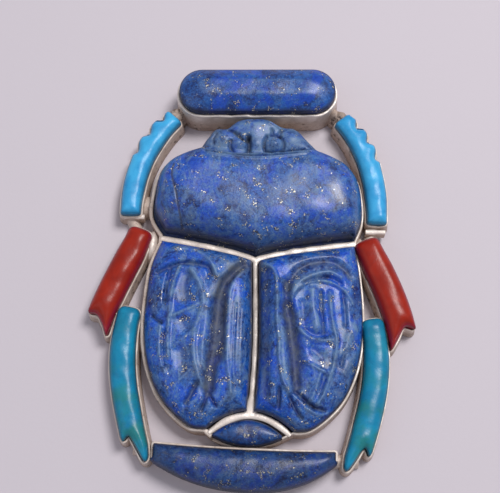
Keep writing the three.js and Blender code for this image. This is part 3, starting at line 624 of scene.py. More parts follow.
# Carved lines of the wing cases: points as shares of the half width and of the length, half width and
# height in millimetres
LEFT_CARVING = [
    ([(.12, .165), (.2, .215), (.27, .265), (.31, .33), (.325, .42), (.335, .5), (.345, .6), (.365, .7), (.378, .79)], 0.72, -1.3),
    ([(.29, .36), (.285, .45), (.28, .55), (.295, .65)], 0.65, -0.65),
    ([(.1, .19), (.18, .245), (.215, .3), (.235, .4), (.235, .55), (.225, .65), (.19, .75), (.175, .81)], 0.3, 0.38),
    ([(.175, .82), (.27, .87), (.36, .905)], 0.26, 0.25),
    ([(.11, .13), (.2, .18), (.3, .235)], 0.36, 0.42),
    ([(.75, .085), (.63, .083), (.51, .11), (.42, .155), (.365, .215), (.32, .26), (.36, .33)], 0.32, 0.42),
    ([(.9, .215), (.78, .185), (.66, .168), (.54, .172), (.43, .19), (.40, .23)], 0.32, -0.62),
    ([(.585, .21), (.515, .265), (.47, .33), (.465, .385), (.49, .45), (.52, .5), (.53, .58), (.515, .66), (.475, .73),
      (.41, .79)], 0.36, 0.5),
    ([(.42, .38), (.44, .5), (.45, .6), (.43, .7)], 0.5, 0.28),
    ([(.69, .18), (.73, .25), (.76, .33), (.765, .4), (.767, .49), (.765, .57), (.75, .65)], 0.24, 0.5),
    ([(.78, .2), (.81, .29), (.815, .37)], 0.24, -0.5),
    ([(.62, .24), (.64, .29), (.62, .35)], 0.8, -0.5),
    ([(.63, .47), (.6, .5)], 0.75, -0.35),
    ([(.63, .62), (.62, .68)], 0.8, -0.4),
    ([(.72, .44), (.6, .41), (.52, .385)], 0.26, 0.4),
    ([(.7, .59), (.6, .545), (.52, .505)], 0.26, 0.36),
    ([(.69, .79), (.62, .75), (.55, .71)], 0.24, 0.25),
    ([(.92, .44), (.88, .462), (.835, .478)], 0.22, -0.6),
    ([(.84, .49), (.845, .58), (.82, .66), (.77, .73)], 0.24, 0.3),
    ([(.81, .52), (.81, .62), (.79, .69)], 0.2, -0.3),
    ([(.49, .775), (.53, .82), (.575, .865)], 0.34, -0.75),
    ([(.385, .815), (.41, .86), (.44, .9)], 0.28, -0.7),
    ([(.362, .83), (.335, .855), (.305, .878)], 0.25, -0.6),
    ([(.16, .38), (.165, .6), (.15, .8)], 0.16, -0.14),
    ([(.095, .4), (.1, .6), (.09, .8)], 0.14, 0.12),
]
RIGHT_CARVING = [
    ([(.1, .2), (.115, .4), (.12, .6), (.13, .82)], 0.62, -0.55),
    ([(.075, .16), (.15, .185), (.195, .23), (.205, .3), (.21, .39), (.215, .47), (.235, .55), (.24, .63), (.26, .7),
      (.29, .76), (.34, .8)], 0.26, 0.55),
    ([(.26, .42), (.275, .52), (.28, .6), (.3, .7), (.33, .77)], 0.5, 0.3),
    ([(.29, .26), (.295, .32), (.31, .42)], 0.55, -0.6),
    ([(.305, .38), (.335, .5), (.365, .6), (.385, .7), (.41, .77)], 0.62, -1.1),
    ([(.36, .42), (.4, .55), (.44, .68)], 0.6, -0.45),
    ([(.3, .29), (.33, .245), (.4, .19), (.5, .153), (.61, .138), (.72, .138), (.81, .165), (.87, .205)], 0.5, -0.55),
    ([(.335, .32), (.37, .28), (.45, .24), (.54, .212), (.68, .192), (.79, .215)], 0.3, 0.42),
    ([(.45, .255), (.57, .228), (.69, .222), (.8, .25)], 0.2, -0.3),
    ([(.34, .34), (.385, .295), (.46, .262), (.57, .245), (.68, .246), (.775, .266), (.85, .3), (.91, .35)], 0.2, 0.36),
    ([(.53, .29), (.54, .38), (.575, .48)], 0.5, 0.5),
    ([(.605, .3), (.62, .4), (.635, .5)], 0.26, -0.5),
    ([(.44, .36), (.46, .46)], 0.5, -0.3),
    ([(.69, .3), (.7, .385), (.72, .46), (.75, .52), (.755, .57), (.735, .65), (.69, .735), (.64, .81), (.59, .855)],
     0.26, 0.5),
    ([(.41, .49), (.5, .53), (.6, .545), (.71, .54)], 0.28, 0.42),
    ([(.47, .49), (.56, .515), (.67, .51)], 0.3, -0.3),
    ([(.47, .65), (.56, .675), (.69, .708)], 0.24, 0.4),
    ([(.55, .59), (.62, .62)], 0.6, -0.3),
    ([(.61, .715), (.575, .78), (.53, .84)], 0.24, 0.34),
    ([(.65, .72), (.62, .78)], 0.4, -0.3),
    ([(.5, .73), (.49, .79)], 0.55, -0.3),
    ([(.93, .47), (.87, .53), (.85, .6)], 0.5, 0.36),
    ([(.93, .6), (.87, .66), (.83, .7)], 0.45, 0.34),
    ([(.81, .3), (.83, .38), (.84, .46)], 0.26, -0.4),
    ([(.9, .58), (.83, .6), (.8, .66)], 0.24, -0.35),
    ([(.39, .795), (.46, .825), (.55, .862), (.66, .878)], 0.27, -0.75),
    ([(.5, .875), (.6, .9), (.72, .888)], 0.22, 0.28),
    ([(.345, .825), (.4, .88), (.455, .92)], 0.26, -0.65),
    ([(.25, .785), (.25, .83), (.245, .87)], 0.25, -0.65),
]


def wing_height(side):
    """The wing case: a rounded edge, a crown that falls off to all sides, and the carved lines."""
    table = LEFT_CARVING if side == LEFT else RIGHT_CARVING
    scale = np.array([BODY_HALF_WIDTH, -WING_LENGTH])
    carving = [(np.array(points) * scale, width, rise) for points, width, rise in table]

    def height(flat, edge_line):
        x, y = flat.T
        edge, _ = nearest(flat, edge_line, True)
        across = 1 - (x / BODY_HALF_WIDTH) ** 2
        along = 1 - np.abs(-2 * y / WING_LENGTH - 0.9) ** 3
        cut, rise = line_relief(np.stack([np.abs(x), y], axis=1), carving)
        cut = -1.35 * np.tanh(-cut / 1.35)
        crown = WING_DOME + WING_CROWN * np.clip(across * along, 0, 1)
        wave = 0.05 * ripple(x, y, 2.2, 5 + side)
        z = BODY_WALL_HEIGHT + STONE_STEP + roll(edge, WING_EDGE_REACH) * (crown + cut + 0.8 * rise + wave)
        # Recess: the carved cuts and the edge, darkened in the finish as dirt and painted shade. Ridge: the raised
        # lines, paled as wear and painted sheen.
        recess = np.clip(-cut / 0.85, 0, 1) + np.exp(-((edge / 0.22) ** 2))
        return z, {"recess": recess, "ridge": np.clip(rise / 0.45, 0, 1)}
    return height


# Bumps of the head: place, rise and radius in millimetres
HEAD_BUMPS = [
    (-4.5, 12.7, 0.6, 1.25), (4.1, 12.75, 0.65, 1.3), (-2.65, 12.0, 0.75, 0.8), (1.95, 12.0, 0.95, 0.95),
    (-0.6, 14.4, 0.45, 1.9), (-0.4, 12.1, 0.3, 0.8),
]
HEAD_LINES = [
    ([(-4.15, 14.1), (-3.3, 13.65), (-2.5, 12.9), (-1.85, 12.45), (-1.4, 12.9)], 0.24, -0.75),
    ([(-1.45, 13.0), (-1.3, 12.0), (-1.4, 10.9)], 0.3, -0.9),
    ([(-3.7, 12.3), (-3.75, 11.6), (-3.4, 10.9)], 0.24, -0.6),
    ([(-5.65, 13.4), (-6.0, 12.7), (-5.9, 12.0)], 0.22, -0.45),
    ([(0.95, 13.2), (0.6, 12.2), (0.8, 11.1), (1.6, 10.65)], 0.2, -0.6),
    ([(1.4, 13.35), (2.3, 13.3), (3.0, 12.6), (3.15, 11.7), (2.8, 10.9)], 0.2, -0.55),
    ([(3.0, 14.3), (2.5, 13.6), (2.6, 13.2)], 0.25, -0.5),
    ([(1.55, 14.3), (1.6, 13.8)], 0.16, -0.4),
    ([(1.3, 15.3), (2.2, 14.8), (2.9, 14.2)], 0.22, 0.35),
    ([(-7.4, 10.75), (-5.8, 10.45), (-3.0, 10.1), (-0.6, 10.25), (3.0, 10.65), (5.9, 11.05), (7.2, 11.4)], 0.2, 0.34),
    ([(-6.5, 10.15), (-3.0, 9.75), (0.0, 9.7), (3.0, 10.05), (6.0, 10.6)], 0.18, 0.24),
    ([(-6.8, 10.45), (-3.0, 9.93), (-0.3, 9.97), (3.0, 10.35), (6.4, 10.9)], 0.14, -0.3),
    ([(-7.2, 11.25), (-5.8, 10.9), (-3.0, 10.6), (-0.6, 10.7), (3.0, 11.0), (5.9, 11.5)], 0.2, -0.45),
]
CRACK = [([(-10.75, 8.6), (-10.9, 7.0), (-10.2, 4.6), (-9.9, 3.0), (-9.45, 1.2), (-9.3, -0.1)], 0.12, -0.14)]


def thorax_height(flat, edge_line):
    """Back: the dome that the side's and the front's quarter rounds make, joined smoothly. Head: a lower dome
    with bumps and carved lines, in front of the neck."""
    x, y = flat.T
    edge, _ = nearest(flat, edge_line, True)
    neck = THORAX_LENGTH - 0.3 - 0.9 * (1 - (x / HEAD_HALF_WIDTH) ** 2)
    side = np.maximum(roll(soft_distance(flat, edge_line), THORAX_EDGE_REACH), 1e-3)
    front = roll(np.maximum(0, neck - y) + 1.3, NECK_REACH)
    back = THORAX_DOME * (side**-6 + front**-6) ** (-1 / 6)
    lift = roll(edge, 1.5)
    head = HEAD_DOME * lift
    on_head = smooth((y - neck + 0.2) / 0.8)
    for bx, by, rise, radius in HEAD_BUMPS:
        head = head + rise * lift * np.exp(-((x - bx) ** 2 + (y - by) ** 2) / radius**2)
    cut, rise = line_relief(flat, HEAD_LINES)
    crack, _ = line_relief(flat, CRACK)
    wave = 0.05 * ripple(x, y, 3.5, 12) * lift
    relief = (0.8 * cut + rise) * lift + crack + wave
    z = BODY_WALL_HEIGHT + STONE_STEP + mix(back, head, smooth((y - neck + 0.4) / 0.9)) + relief
    worn = 0.55 * smooth((2.2 - edge) / 1.6) * smooth((4 - y) / 2) + 0.6 * on_head * (x > -7) + 0.25 * smooth((y - neck + 2.5) / 2)
    # Recess: the cuts, the crack and the edge, darkened in the finish as dirt and painted shade. The carved rises in
    # the ridge value are paled as wear and painted sheen.
    recess = np.clip(-0.7 * cut / 0.7, 0, 1) + np.clip(-crack / 0.1, 0, 1) + np.exp(-((edge / 0.25) ** 2))
    return z, {"recess": recess, "ridge": np.clip(rise / 0.35 + worn, 0, 1)}


# Finishes

class Value:
    """A shader socket that adds its own Math nodes when it stands in an expression."""

    def __init__(self, finish, socket):
        self.finish, self.socket = finish, socket

    def math(self, operation, *others, clamp=False):
        settings = {"operation": operation, "use_clamp": clamp}
        return self.finish.node("ShaderNodeMath", settings, dict(enumerate((self, *others))))

    def __add__(self, other):
        return self.math("ADD", other)

    __radd__ = __add__

    def __sub__(self, other):
        return self.math("SUBTRACT", other)

    def __rsub__(self, other):
        return self.finish.node("ShaderNodeMath", {"operation": "SUBTRACT"}, {0: other, 1: self})

    def __mul__(self, other):
        return self.math("MULTIPLY", other)

    __rmul__ = __mul__

    def __truediv__(self, other):
        return self.math("DIVIDE", other)

    def __pow__(self, other):
        return self.math("POWER", other)

    def size(self):
        return self.math("ABSOLUTE")

    def clamped(self):
        return self.math("ADD", 0.0, clamp=True)

    def between(self, low, high):
        """0 at low, 1 at high, straight between and held outside."""
        return self.finish.node("ShaderNodeMapRange", {"clamp": True}, {"Value": self, "From Min": low, "From Max": high})


class Finish:
    """A material whose nodes are added by expressions."""

    def __init__(self, name):
        self.material = bpy.data.materials.new(name)
        self.material.use_nodes = True
        self.tree = self.material.node_tree
        self.shader = self.tree.nodes["Principled BSDF"]
        self.place = self.node("ShaderNodeTexCoord", {}, {}, "Object")

    def node(self, kind, settings, inputs, output=0):
        made = self.tree.nodes.new(kind)
        for key, setting in settings.items():
            if key == "stops":
                self.set_stops(made.color_ramp, setting)
            else:
                setattr(made, key, setting)
        for key, given in inputs.items():
            self.feed(made.inputs[key], given)
        return Value(self, made.outputs[output])

    @staticmethod
    def set_stops(ramp, stops):
        while len(ramp.elements) < len(stops):
            ramp.elements.new(0.5)
        for element, (position, colour) in zip(ramp.elements, stops):
            element.position = position
            element.color = (*colour, 1)

    def feed(self, socket, given):
        if isinstance(given, Value):
            self.tree.links.new(given.socket, socket)
        elif isinstance(given, (tuple, list)) and len(given) == 3 and socket.type == "RGBA":
            socket.default_value = (*given, 1)
        else:
            socket.default_value = given

    def set(self, **inputs):
        for key, given in inputs.items():
            self.feed(self.shader.inputs[key.replace("_", " ").title()], given)

    def moved(self, scale=(1, 1, 1), turn=(0, 0, 0), shift=(0, 0, 0)):
        return self.node("ShaderNodeMapping", {}, {"Vector": self.place, "Location": shift, "Rotation": turn, "Scale": scale})

    def noise(self, size, detail=4, rough=0.55, vector=None, distort=0.0):
        """Noise whose blobs are about size millimetres across."""
        inputs = {"Vector": vector or self.place, "Scale": 1 / (size * MM), "Detail": detail, "Roughness": rough, "Distortion": distort}
        return self.node("ShaderNodeTexNoise", {}, inputs)

    def cells(self, size, vector=None, feature="F1", output="Distance"):
        settings = {"feature": feature}
        return self.node("ShaderNodeTexVoronoi", settings, {"Vector": vector or self.place, "Scale": 1 / (size * MM)}, output)

    def attribute(self, name):
        return self.node("ShaderNodeAttribute", {"attribute_name": name}, {}, "Fac")

    def blend(self, factor, low, high, kind="MIX"):
        settings = {"data_type": "RGBA", "blend_type": kind, "clamp_factor": True}
        return self.node("ShaderNodeMix", settings, {0: factor, 6: low, 7: high}, 2)

    def bump(self, height, strength, distance):
        self.feed(self.shader.inputs["Normal"], self.node(
            "ShaderNodeBump", {}, {"Height": height, "Strength": strength, "Distance": distance * MM}, "Normal"))


def lapis_finish(name, looks, worn, shade, polish):
    """Ultramarine stone: clouds of deep, pale and vivid blue, grey flecks and wisps, ridges paled by wear and painted
    sheen, dirt and painted shade in the cuts and along the edges, and gold specks in dark clusters. Worn sets how grey
    it is, shade how light and polish how it shines."""
    finish = Finish(name)
    tints = {key: tuple(shade * c for c in getattr(looks, key)) for key in StoneLooks.__annotations__}
    clouds = finish.noise(3.6, detail=6, rough=0.62, distort=0.8)
    mottle = finish.noise(0.95, detail=7, rough=0.7, distort=0.5)
    grain = finish.noise(0.24, detail=5, rough=0.75)
    patches = finish.noise(4.2, detail=5, rough=0.6, vector=finish.moved(shift=(0.011, 0.007, 0.003)), distort=0.8)
    wisps = finish.noise(1.5, detail=7, rough=0.68, vector=finish.moved(scale=(1.0, 0.55, 1), turn=(0, 0, 0.6)), distort=1.4)
    crowd = finish.noise(1.3, detail=4, rough=0.6, vector=finish.moved(shift=(0.013, 0.004, 0.002)))
    recess = finish.attribute("recess")
    ridge = finish.attribute("ridge")
    tone = (clouds.between(0.4, 0.6) * 0.35 + mottle.between(0.4, 0.6) * 0.45 + grain.between(0.38, 0.62) * 0.4).between(0.2, 0.95)
    colour = finish.blend(tone, tints["lapis_deep"], tints["lapis_pale"])
    vivid = patches.between(0.47, 0.56) * mottle.between(0.64, 0.44) * 0.95
    colour = finish.blend(vivid, colour, tints["lapis_vivid"])
    shadow = mottle.between(0.47, 0.36) * (0.35 + 0.4 * worn)
    colour = finish.blend(shadow, colour, tuple(0.55 * c for c in tints["lapis_deep"]))
    flecks = grain.between(0.54, 0.66) * mottle.between(0.4, 0.6)
    veins = 1 - (finish.noise(2.6, detail=6, rough=0.6, vector=finish.moved(shift=(0.004, 0.019, 0.01)), distort=1.0) - 0.5).size()
    veins = veins.between(0.982, 0.998) * clouds.between(0.4, 0.6)
    grey = wisps.between(0.5, 0.64) * (0.75 * worn) + flecks * (0.45 + 0.6 * worn) + veins * 0.55
    # Ridges paled towards the haze: partly wear, partly painted sheen.
    grey = (grey + ridge * (0.15 + 0.75 * mottle.between(0.35, 0.6))).clamped()
    colour = finish.blend(grey, colour, tints["lapis_haze"])
    dull = patches.between(0.48, 0.36) * mottle.between(0.46, 0.58) * (0.5 * worn)
    colour = finish.blend(dull, colour, tints["lapis_dull"])
    cluster = crowd.between(0.595, 0.64)
    dark = (grain.between(0.46, 0.34) * 0.4 + cluster * grain.between(0.62, 0.42) * 0.8).clamped()
    colour = finish.blend(dark, colour, tints["lapis_dirt"])
    # Recesses, carved cuts and stone edges darkened towards the dirt colours: real dirt and painted shade.
    dirt = (recess.between(0.1, 0.9) * (0.5 + 0.7 * mottle)).clamped()
    cut_dirt_and_shade = finish.blend(mottle.between(0.42, 0.6) * (0.75 * worn), tints["lapis_dirt"], tints["lapis_dull"])
    colour = finish.blend(dirt * 0.85, colour, cut_dirt_and_shade)
    small = (0.4 - finish.cells(0.22)).between(0.0, 0.1) * cluster
    large = (0.2 - finish.cells(0.55)).between(0.0, 0.05) * crowd.between(0.54, 0.58)
    speck = (small + large).clamped()
    colour = finish.blend(speck * 0.9, colour, tints["pyrite"])
    roughness = (0.22 + 0.18 * grain + 0.16 * grey + 0.3 * dirt).clamped()
    finish.set(base_color=colour, roughness=roughness, metallic=speck * 0.5, coat_weight=polish * (1 - dirt) * (1 - ridge))
    finish.shader.inputs["IOR"].default_value = 1.5
    finish.shader.inputs["Coat Roughness"].default_value = 0.2
    finish.bump(grain * 0.8 + mottle * 1.2 + wisps * 0.8, 0.5, 0.06)
    return finish.material


def turquoise_finish(name, light, dark, green, greenness, edge_shade_colour):
    """Turquoise: cloudy light and dark blue with green patches and edges darkened with painted shade."""
    finish = Finish(name)
    clouds = finish.noise(2.4, detail=5, rough=0.6, distort=0.5)
    fine = finish.noise(0.3, detail=4, rough=0.6)
    patches = finish.noise(3.4, detail=4, rough=0.55, vector=finish.moved(shift=(0.02, 0.03, 0.01)))
    colour = finish.blend(clouds.between(0.34, 0.68), light, dark)
    low = finish.node("ShaderNodeSeparateXYZ", {}, {"Vector": finish.place}, "Y").between(-0.008, -0.019)
    colour = finish.blend(patches.between(0.44, 0.6) * greenness * (0.25 + 0.75 * low), colour, green)
    colour = finish.blend(fine.between(0.55, 0.8) * 0.25, colour, dark)
    # The edges darkened: painted shade.
    dirt = (finish.attribute("recess").between(0.25, 1.0) * (0.4 + 0.9 * fine)).clamped()
    colour = finish.blend(dirt * 0.8, colour, edge_shade_colour)
    finish.set(base_color=colour, roughness=0.2 + 0.2 * fine)
    finish.shader.inputs["IOR"].default_value = 1.36
    finish.bump(fine + clouds * 2.0, 0.4, 0.04)
    return finish.material


def coral_finish(name, warm, deep, edge):
    """Red coral: cloudy warm and deep red, with purple red painted at the edges as shade and as a reflection of the
    pale ground.
    """
    finish = Finish(name)
    clouds = finish.noise(2.0, detail=5, rough=0.58, distort=0.6)
    fine = finish.noise(0.3, detail=4, rough=0.6)
    colour = finish.blend(clouds.between(0.36, 0.7) * 0.7, warm, deep)
    # The edges tinted purple red: painted shade and painted reflection.
    rim = (finish.attribute("recess").between(0.0, 0.5) * (0.5 + 0.6 * fine)).clamped()
    colour = finish.blend(rim, colour, edge)
    finish.set(base_color=colour, roughness=0.22 + 0.2 * fine)
    finish.shader.inputs["IOR"].default_value = 1.38
    finish.bump(fine + clouds * 2.0, 0.4, 0.04)
    return finish.material


def silver_finish(name, bright, tarnish, deep):
    """Old silver: bright where it rubs and on the sides painted as lit, brown in the hollows, low on the walls and on
    the sides painted as shaded, with dark spots and file marks.
    """
    finish = Finish(name)
    rubbed = finish.attribute("rubbed")
    cloud = finish.noise(1.7, detail=6, rough=0.62, distort=0.4)
    spots = finish.noise(0.7, detail=6, rough=0.7, vector=finish.moved(shift=(0.01, 0.02, 0.03)))
    fine = finish.noise(0.2, detail=5, rough=0.65)
    marks = finish.noise(0.16, detail=4, rough=0.6, vector=finish.moved(scale=(1.5, 0.12, 1)))
    # The rubbed value carries painted light and shade as well as wear, and the film follows both.
    film_and_shade = (1 - rubbed) * 0.95 + (cloud - 0.5) * 1.5
    brown = film_and_shade.clamped()
    colour = finish.blend(brown, bright, tarnish)
    dark = (spots.between(0.52, 0.64) * (0.15 + brown) * 0.9 + (film_and_shade - 1.1) * 0.9).clamped()
    colour = finish.blend(dark, colour, deep)
    finish.set(base_color=colour, metallic=0.36 - 0.26 * brown, roughness=(0.3 + 0.2 * fine + 0.3 * brown).clamped())
    finish.bump(fine * 0.7 + marks * 0.5 + spots * 1.2, 0.6, 0.05)
    return finish.material


# The setting

def cell_wall(shell, outline, rim, foot_reach, height, seed, rub_and_light=1.0):
    """A cell: the profile up the outer wall, over its round rim and down to the floor, carried round the outline.
    Rim gives how far outside the stone the rim starts and ends. The other sizes may vary round the outline."""
    count = len(outline)
    height, foot_reach, rub_and_light = (np.broadcast_to(value, (count,)) for value in (height, foot_reach, rub_and_light))
    inner, outer = rim
    middle, half = (inner + outer) / 2, (outer - inner) / 2
    bend = np.linspace(0, np.pi, 9)
    profile = [(foot_reach - 0.05, 0 * height), (foot_reach, 0 * height + 0.06)]
    profile += [(mix(foot_reach, outer, 0.5), 0.45 * height), (outer + 0 * height, height - 0.3)]
    profile += [(middle + half * np.cos(a) + 0 * height, height - 0.12 + 0.14 * np.sin(a)) for a in bend]
    profile += [(inner + 0 * height, height - 0.3), (SIDE_GAP + 0 * height, 0 * height + PLATE_THICKNESS)]
    centre = grown(outline, middle, rounds=12)
    wave = ripple(centre[:, 0], centre[:, 1], 2.6, seed)
    fine = ripple(centre[:, 0], centre[:, 1], 1.1, seed + 40)
    grid, rubbed = [], []
    for distance, z in profile:
        ring = grown(outline, distance, start=centre, rounds=3)
        at_rim = smooth((z - height + 0.5) / 0.3)
        outwards = (ring - centre) * (0.1 * at_rim * np.roll(wave, 9))[:, None]
        grid.append(np.column_stack([ring + outwards, z + at_rim * (0.05 * wave + 0.02 * fine)]))
        # Higher up the wall and on the rim as wear, scaled by the given factor, which also paints light and shade on
        # whole walls.
        rubbed.append(rub_and_light * (0.25 * z / height + 0.75 * at_rim) * mix(0.65, 1.0, np.clip(wave, 0, 1)))
    first = shell.add_points(np.array(grid), rubbed=np.array(rubbed))
    shell.add_faces(loop_quads(first, len(profile), count, True))
    bottom = np.arange(first, first + count)
    shell.add_faces(bottom[None, ::-1])
    shell.add_faces(bottom[None] + (len(profile) - 1) * count)


def ribbon(shell, path, half_width, low, high, seed, rub_and_light=1.0):
    """A strip with a rounded top along a path, closed at both ends."""
    count = len(path)
    ahead = np.gradient(path, axis=0)
    side = np.stack([ahead[:, 1], -ahead[:, 0]], axis=1) / np.linalg.norm(ahead, axis=1)[:, None]
    half = half_width * (1 + 0.09 * ripple(path[:, 0], path[:, 1], 2.2, seed))
    rise = 0.05 * ripple(path[:, 0], path[:, 1], 2.6, seed + 1)
    angle = np.linspace(0, np.pi, 11)
    across = np.concatenate([[1, 1], np.cos(angle), [-1, -1]])
    z = np.concatenate([[low, high - 0.4], high - 0.12 + 0.17 * np.sin(angle), [high - 0.4, low]])
    at_top = smooth((z - high + 0.3) / 0.25)
    flat = path[:, None] + side[:, None] * (half[:, None] * across[None])[..., None]
    points = np.concatenate([flat, (z[None] + rise[:, None] * at_top[None])[..., None]], axis=2)
    ring = len(z)
    first = shell.add_points(points, rubbed=np.broadcast_to(rub_and_light * at_top, (count, ring)))
    shell.add_faces(loop_quads(first, count, ring, True)[:, ::-1])
    shell.add_faces(np.arange(first, first + ring)[None, :])
    shell.add_faces(np.arange(first + (count - 1) * ring, first + count * ring)[None, ::-1])


def solder(shell, start, end, width, height, seed, rub_and_light=0.3):
    """A run of solder: a rounded bar from point to point that spreads towards both ends."""
    t = np.linspace(0, 1, 24)
    path = mix(np.asarray(start, float)[None], np.asarray(end, float)[None], t[:, None])
    ahead = path[-1] - path[0]
    side = np.array([ahead[1], -ahead[0]]) / np.linalg.norm(ahead)
    spread = 1 + 0.25 * (2 * t - 1) ** 2 + 0.05 * ripple(path[:, 0] * 2, path[:, 1] * 2, 2.0, seed)
    angle = np.linspace(0, np.pi, 15)
    up = np.sin(angle) ** 0.75
    flat = path[:, None] + side * (width / 2 * spread[:, None] * np.cos(angle)[None])[..., None]
    top = height * (0.97 + 0.03 * ripple(path[:, 0], path[:, 1], 1.5, seed))
    points = np.concatenate([flat, (top[:, None] * up[None])[..., None]], axis=2)
    ring = len(angle)
    first = shell.add_points(points, rubbed=rub_and_light * np.ones((24, ring)))
    shell.add_faces(loop_quads(first, 24, ring, True)[:, ::-1])
    shell.add_faces(np.arange(first, first + ring)[None, :])
    shell.add_faces(np.arange(first + 23 * ring, first + 24 * ring)[None, ::-1])


def blob(shell, place, radii, turn, height, seed, rub_and_light):
    """A lump of solder: a flattened dome, height times the quarter round of the share of its radius, uneven at
    its edge."""
    turns, rings = 40, 12
    angle = np.linspace(0, 2 * np.pi, turns, endpoint=False)
    share = np.sin(np.linspace(np.pi / 2, 0, rings, endpoint=False))[:, None]
    uneven = 1 + 0.1 * ripple(3 * np.cos(angle), 3 * np.sin(angle), 3.0, seed)
    x, y = share * uneven * radii[0] * np.cos(angle), share * uneven * radii[1] * np.sin(angle)
    c, s = math.cos(turn), math.sin(turn)
    flat = np.stack([place[0] + c * x - s * y, place[1] + s * x + c * y], axis=-1)
    z = np.broadcast_to(height * (1 - share**2.6) ** 0.5, (rings, turns))
    first = shell.add_points(np.concatenate([flat, z[..., None]], axis=2), rubbed=rub_and_light * (0.4 + 0.6 * z / height))
    top = shell.add_points([[*place, height]], rubbed=rub_and_light)
    shell.add_faces(loop_quads(first, rings, turns, True))
    last = first + (rings - 1) * turns + np.arange(turns)
    shell.add_faces(np.stack([last, np.roll(last, -1), np.full(turns, top)], axis=1))
    shell.add_faces(np.arange(first, first + turns)[None, ::-1])


def body_outline():
    """The outer edge of the body: head and thorax, both flanks and the lower edge of the tail."""
    t = np.linspace(0, 1, 150)
    right = thorax_flank(RIGHT, 140)
    left = thorax_flank(LEFT, 140)[::-1]
    return np.vstack([right, left[1:], wing_flank(LEFT, t), tail_lower_edge(60), wing_flank(RIGHT, t)[::-1]])


# Sizes and colours that can be changed

def size(name, description, default, low=0.0, high=1.0):
    return bpy.props.FloatProperty(name=name, description=description, default=default, min=low, max=high)


def colour(name, description, default):
    return bpy.props.FloatVectorProperty(
        name=name, description=description, default=default, size=3, subtype="COLOR", min=0, max=1)


class StoneLooks(bpy.types.PropertyGroup):
    """Colours of the stones"""

    lapis_deep: colour("Lapis, deep", "The darkest blue of the lapis", (0.002, 0.018, 0.145))
    lapis_pale: colour("Lapis, pale", "The lightest blue of the lapis", (0.014, 0.13, 0.50))
    lapis_vivid: colour("Lapis, vivid", "The purest blue of the lapis", (0.001, 0.078, 0.62))
    # Also paints the pale sheen on the ridges.
    lapis_haze: colour("Lapis, haze", "The grey of calcite and worn ridges", (0.125, 0.23, 0.42))
    lapis_dull: colour("Lapis, dull", "The brown grey clouds", (0.11, 0.11, 0.12))
    # Also paints the shade in the cuts and along the stones' edges.
    lapis_dirt: colour("Lapis, dirt", "What lies in the cuts", (0.020, 0.020, 0.035))
    pyrite: colour("Pyrite", "The gold specks", (0.74, 0.69, 0.54))
    sky_light: colour("Front legs, light", "The lighter blue of the front legs", (0.06, 0.43, 0.77))
    sky_dark: colour("Front legs, dark", "The darker blue of the front legs", (0.02, 0.26, 0.57))
    teal_light: colour("Hind legs, light", "The lighter blue of the hind legs", (0.006, 0.25, 0.435))
    teal_dark: colour("Hind legs, dark", "The darker blue of the hind legs", (0.005, 0.155, 0.30))
    green: colour("Hind legs, green", "The green patches of the hind legs", (0.02, 0.19, 0.15))
    # Painted shade at the turquoise's edges.
    legs_edge_shade: colour("Turquoise, edge", "The dark edges of the turquoise", (0.015, 0.035, 0.045))
    coral_warm: colour("Coral, warm", "The orange red of the middle legs", (0.32, 0.015, 0.003))
    coral_deep: colour("Coral, deep", "The darker red of the middle legs", (0.19, 0.007, 0.003))
    # Painted shade and reflection at the coral's edges.
    coral_edge_shade_and_sheen: colour("Coral, edge", "The purple red at the edges", (0.22, 0.010, 0.035))


class SilverLooks(bpy.types.PropertyGroup):
    """Colours of the silver"""

    bright: colour("Rubbed silver", "Silver on the rims", (0.80, 0.72, 0.665))
    tarnish: colour("Tarnish", "Brown film on the walls", (0.50, 0.39, 0.325))
    deep: colour("Deep tarnish", "Darkest spots of the walls", (0.08, 0.055, 0.042))


class StageLooks(bpy.types.PropertyGroup):
    """Floor, light and camera"""

    paper: colour("Paper", "The pale ground", (0.58, 0.535, 0.585))
    distance: bpy.props.FloatProperty(
        name="Camera distance", description="From the camera to the middle of the picture", default=0.13, unit="LENGTH")
    tilt: bpy.props.FloatProperty(
        name="Camera tilt", description="From straight down towards the tail", default=math.radians(18), subtype="ANGLE")
    turn: bpy.props.FloatProperty(
        name="Camera turn", description="About the upright axis", default=math.radians(2), subtype="ANGLE")


# Operators

class Maker:
    """What the piece operators share."""

    bl_options = {"REGISTER"}

    @staticmethod
    def lapis(name, worn, shade, polish):
        return lapis_finish(name, bpy.context.scene.amulet_stones, worn, shade, polish)


class AMULET_OT_bar(bpy.types.Operator, Maker):
    """Makes the lapis bar over the head"""

    bl_idname = "amulet.bar"
    bl_label = "Bar"

    def execute(self, context):
        shell = Shell()
        outline = anticlockwise(evenly(bar_outline(), 360))
        height = domed(BAR_WALL_HEIGHT + BAR_STEP, BAR_DOME, BAR_EDGE_REACH, 3, 0.05, 0.75)
        raise_rings(shell, outline, 0.1, BAR_MIDDLE, height, 60, BAR_WALL_HEIGHT + 0.06)
        shell.build("bar_stone", self.lapis("bar lapis", 0.1, 0.76, 0.08), ["lapis_top_bar"])
        return {"FINISHED"}


class AMULET_OT_thorax(bpy.types.Operator, Maker):
    """Makes the head and thorax, one carved stone"""

    bl_idname = "amulet.thorax"
    bl_label = "Head and thorax"

    def execute(self, context):
        shell = Shell()
        outline = anticlockwise(thorax_outline())
        gap = facing(outline, (-0.6, -0.8), 0.2, 1.0) * (outline[:, 1] < 9)
        ledge = BODY_WALL_HEIGHT + 0.06 - 0.5 * gap
        centre = np.array([0, 0.45 * THORAX_LENGTH])
        raise_rings(shell, outline, 0.1 - 0.58 * gap, centre, thorax_height, 110, ledge)
        shell.build("thorax_stone", self.lapis("thorax lapis", 0.75, 0.84, 0.22), ["lapis_head_and_thorax"])
        return {"FINISHED"}


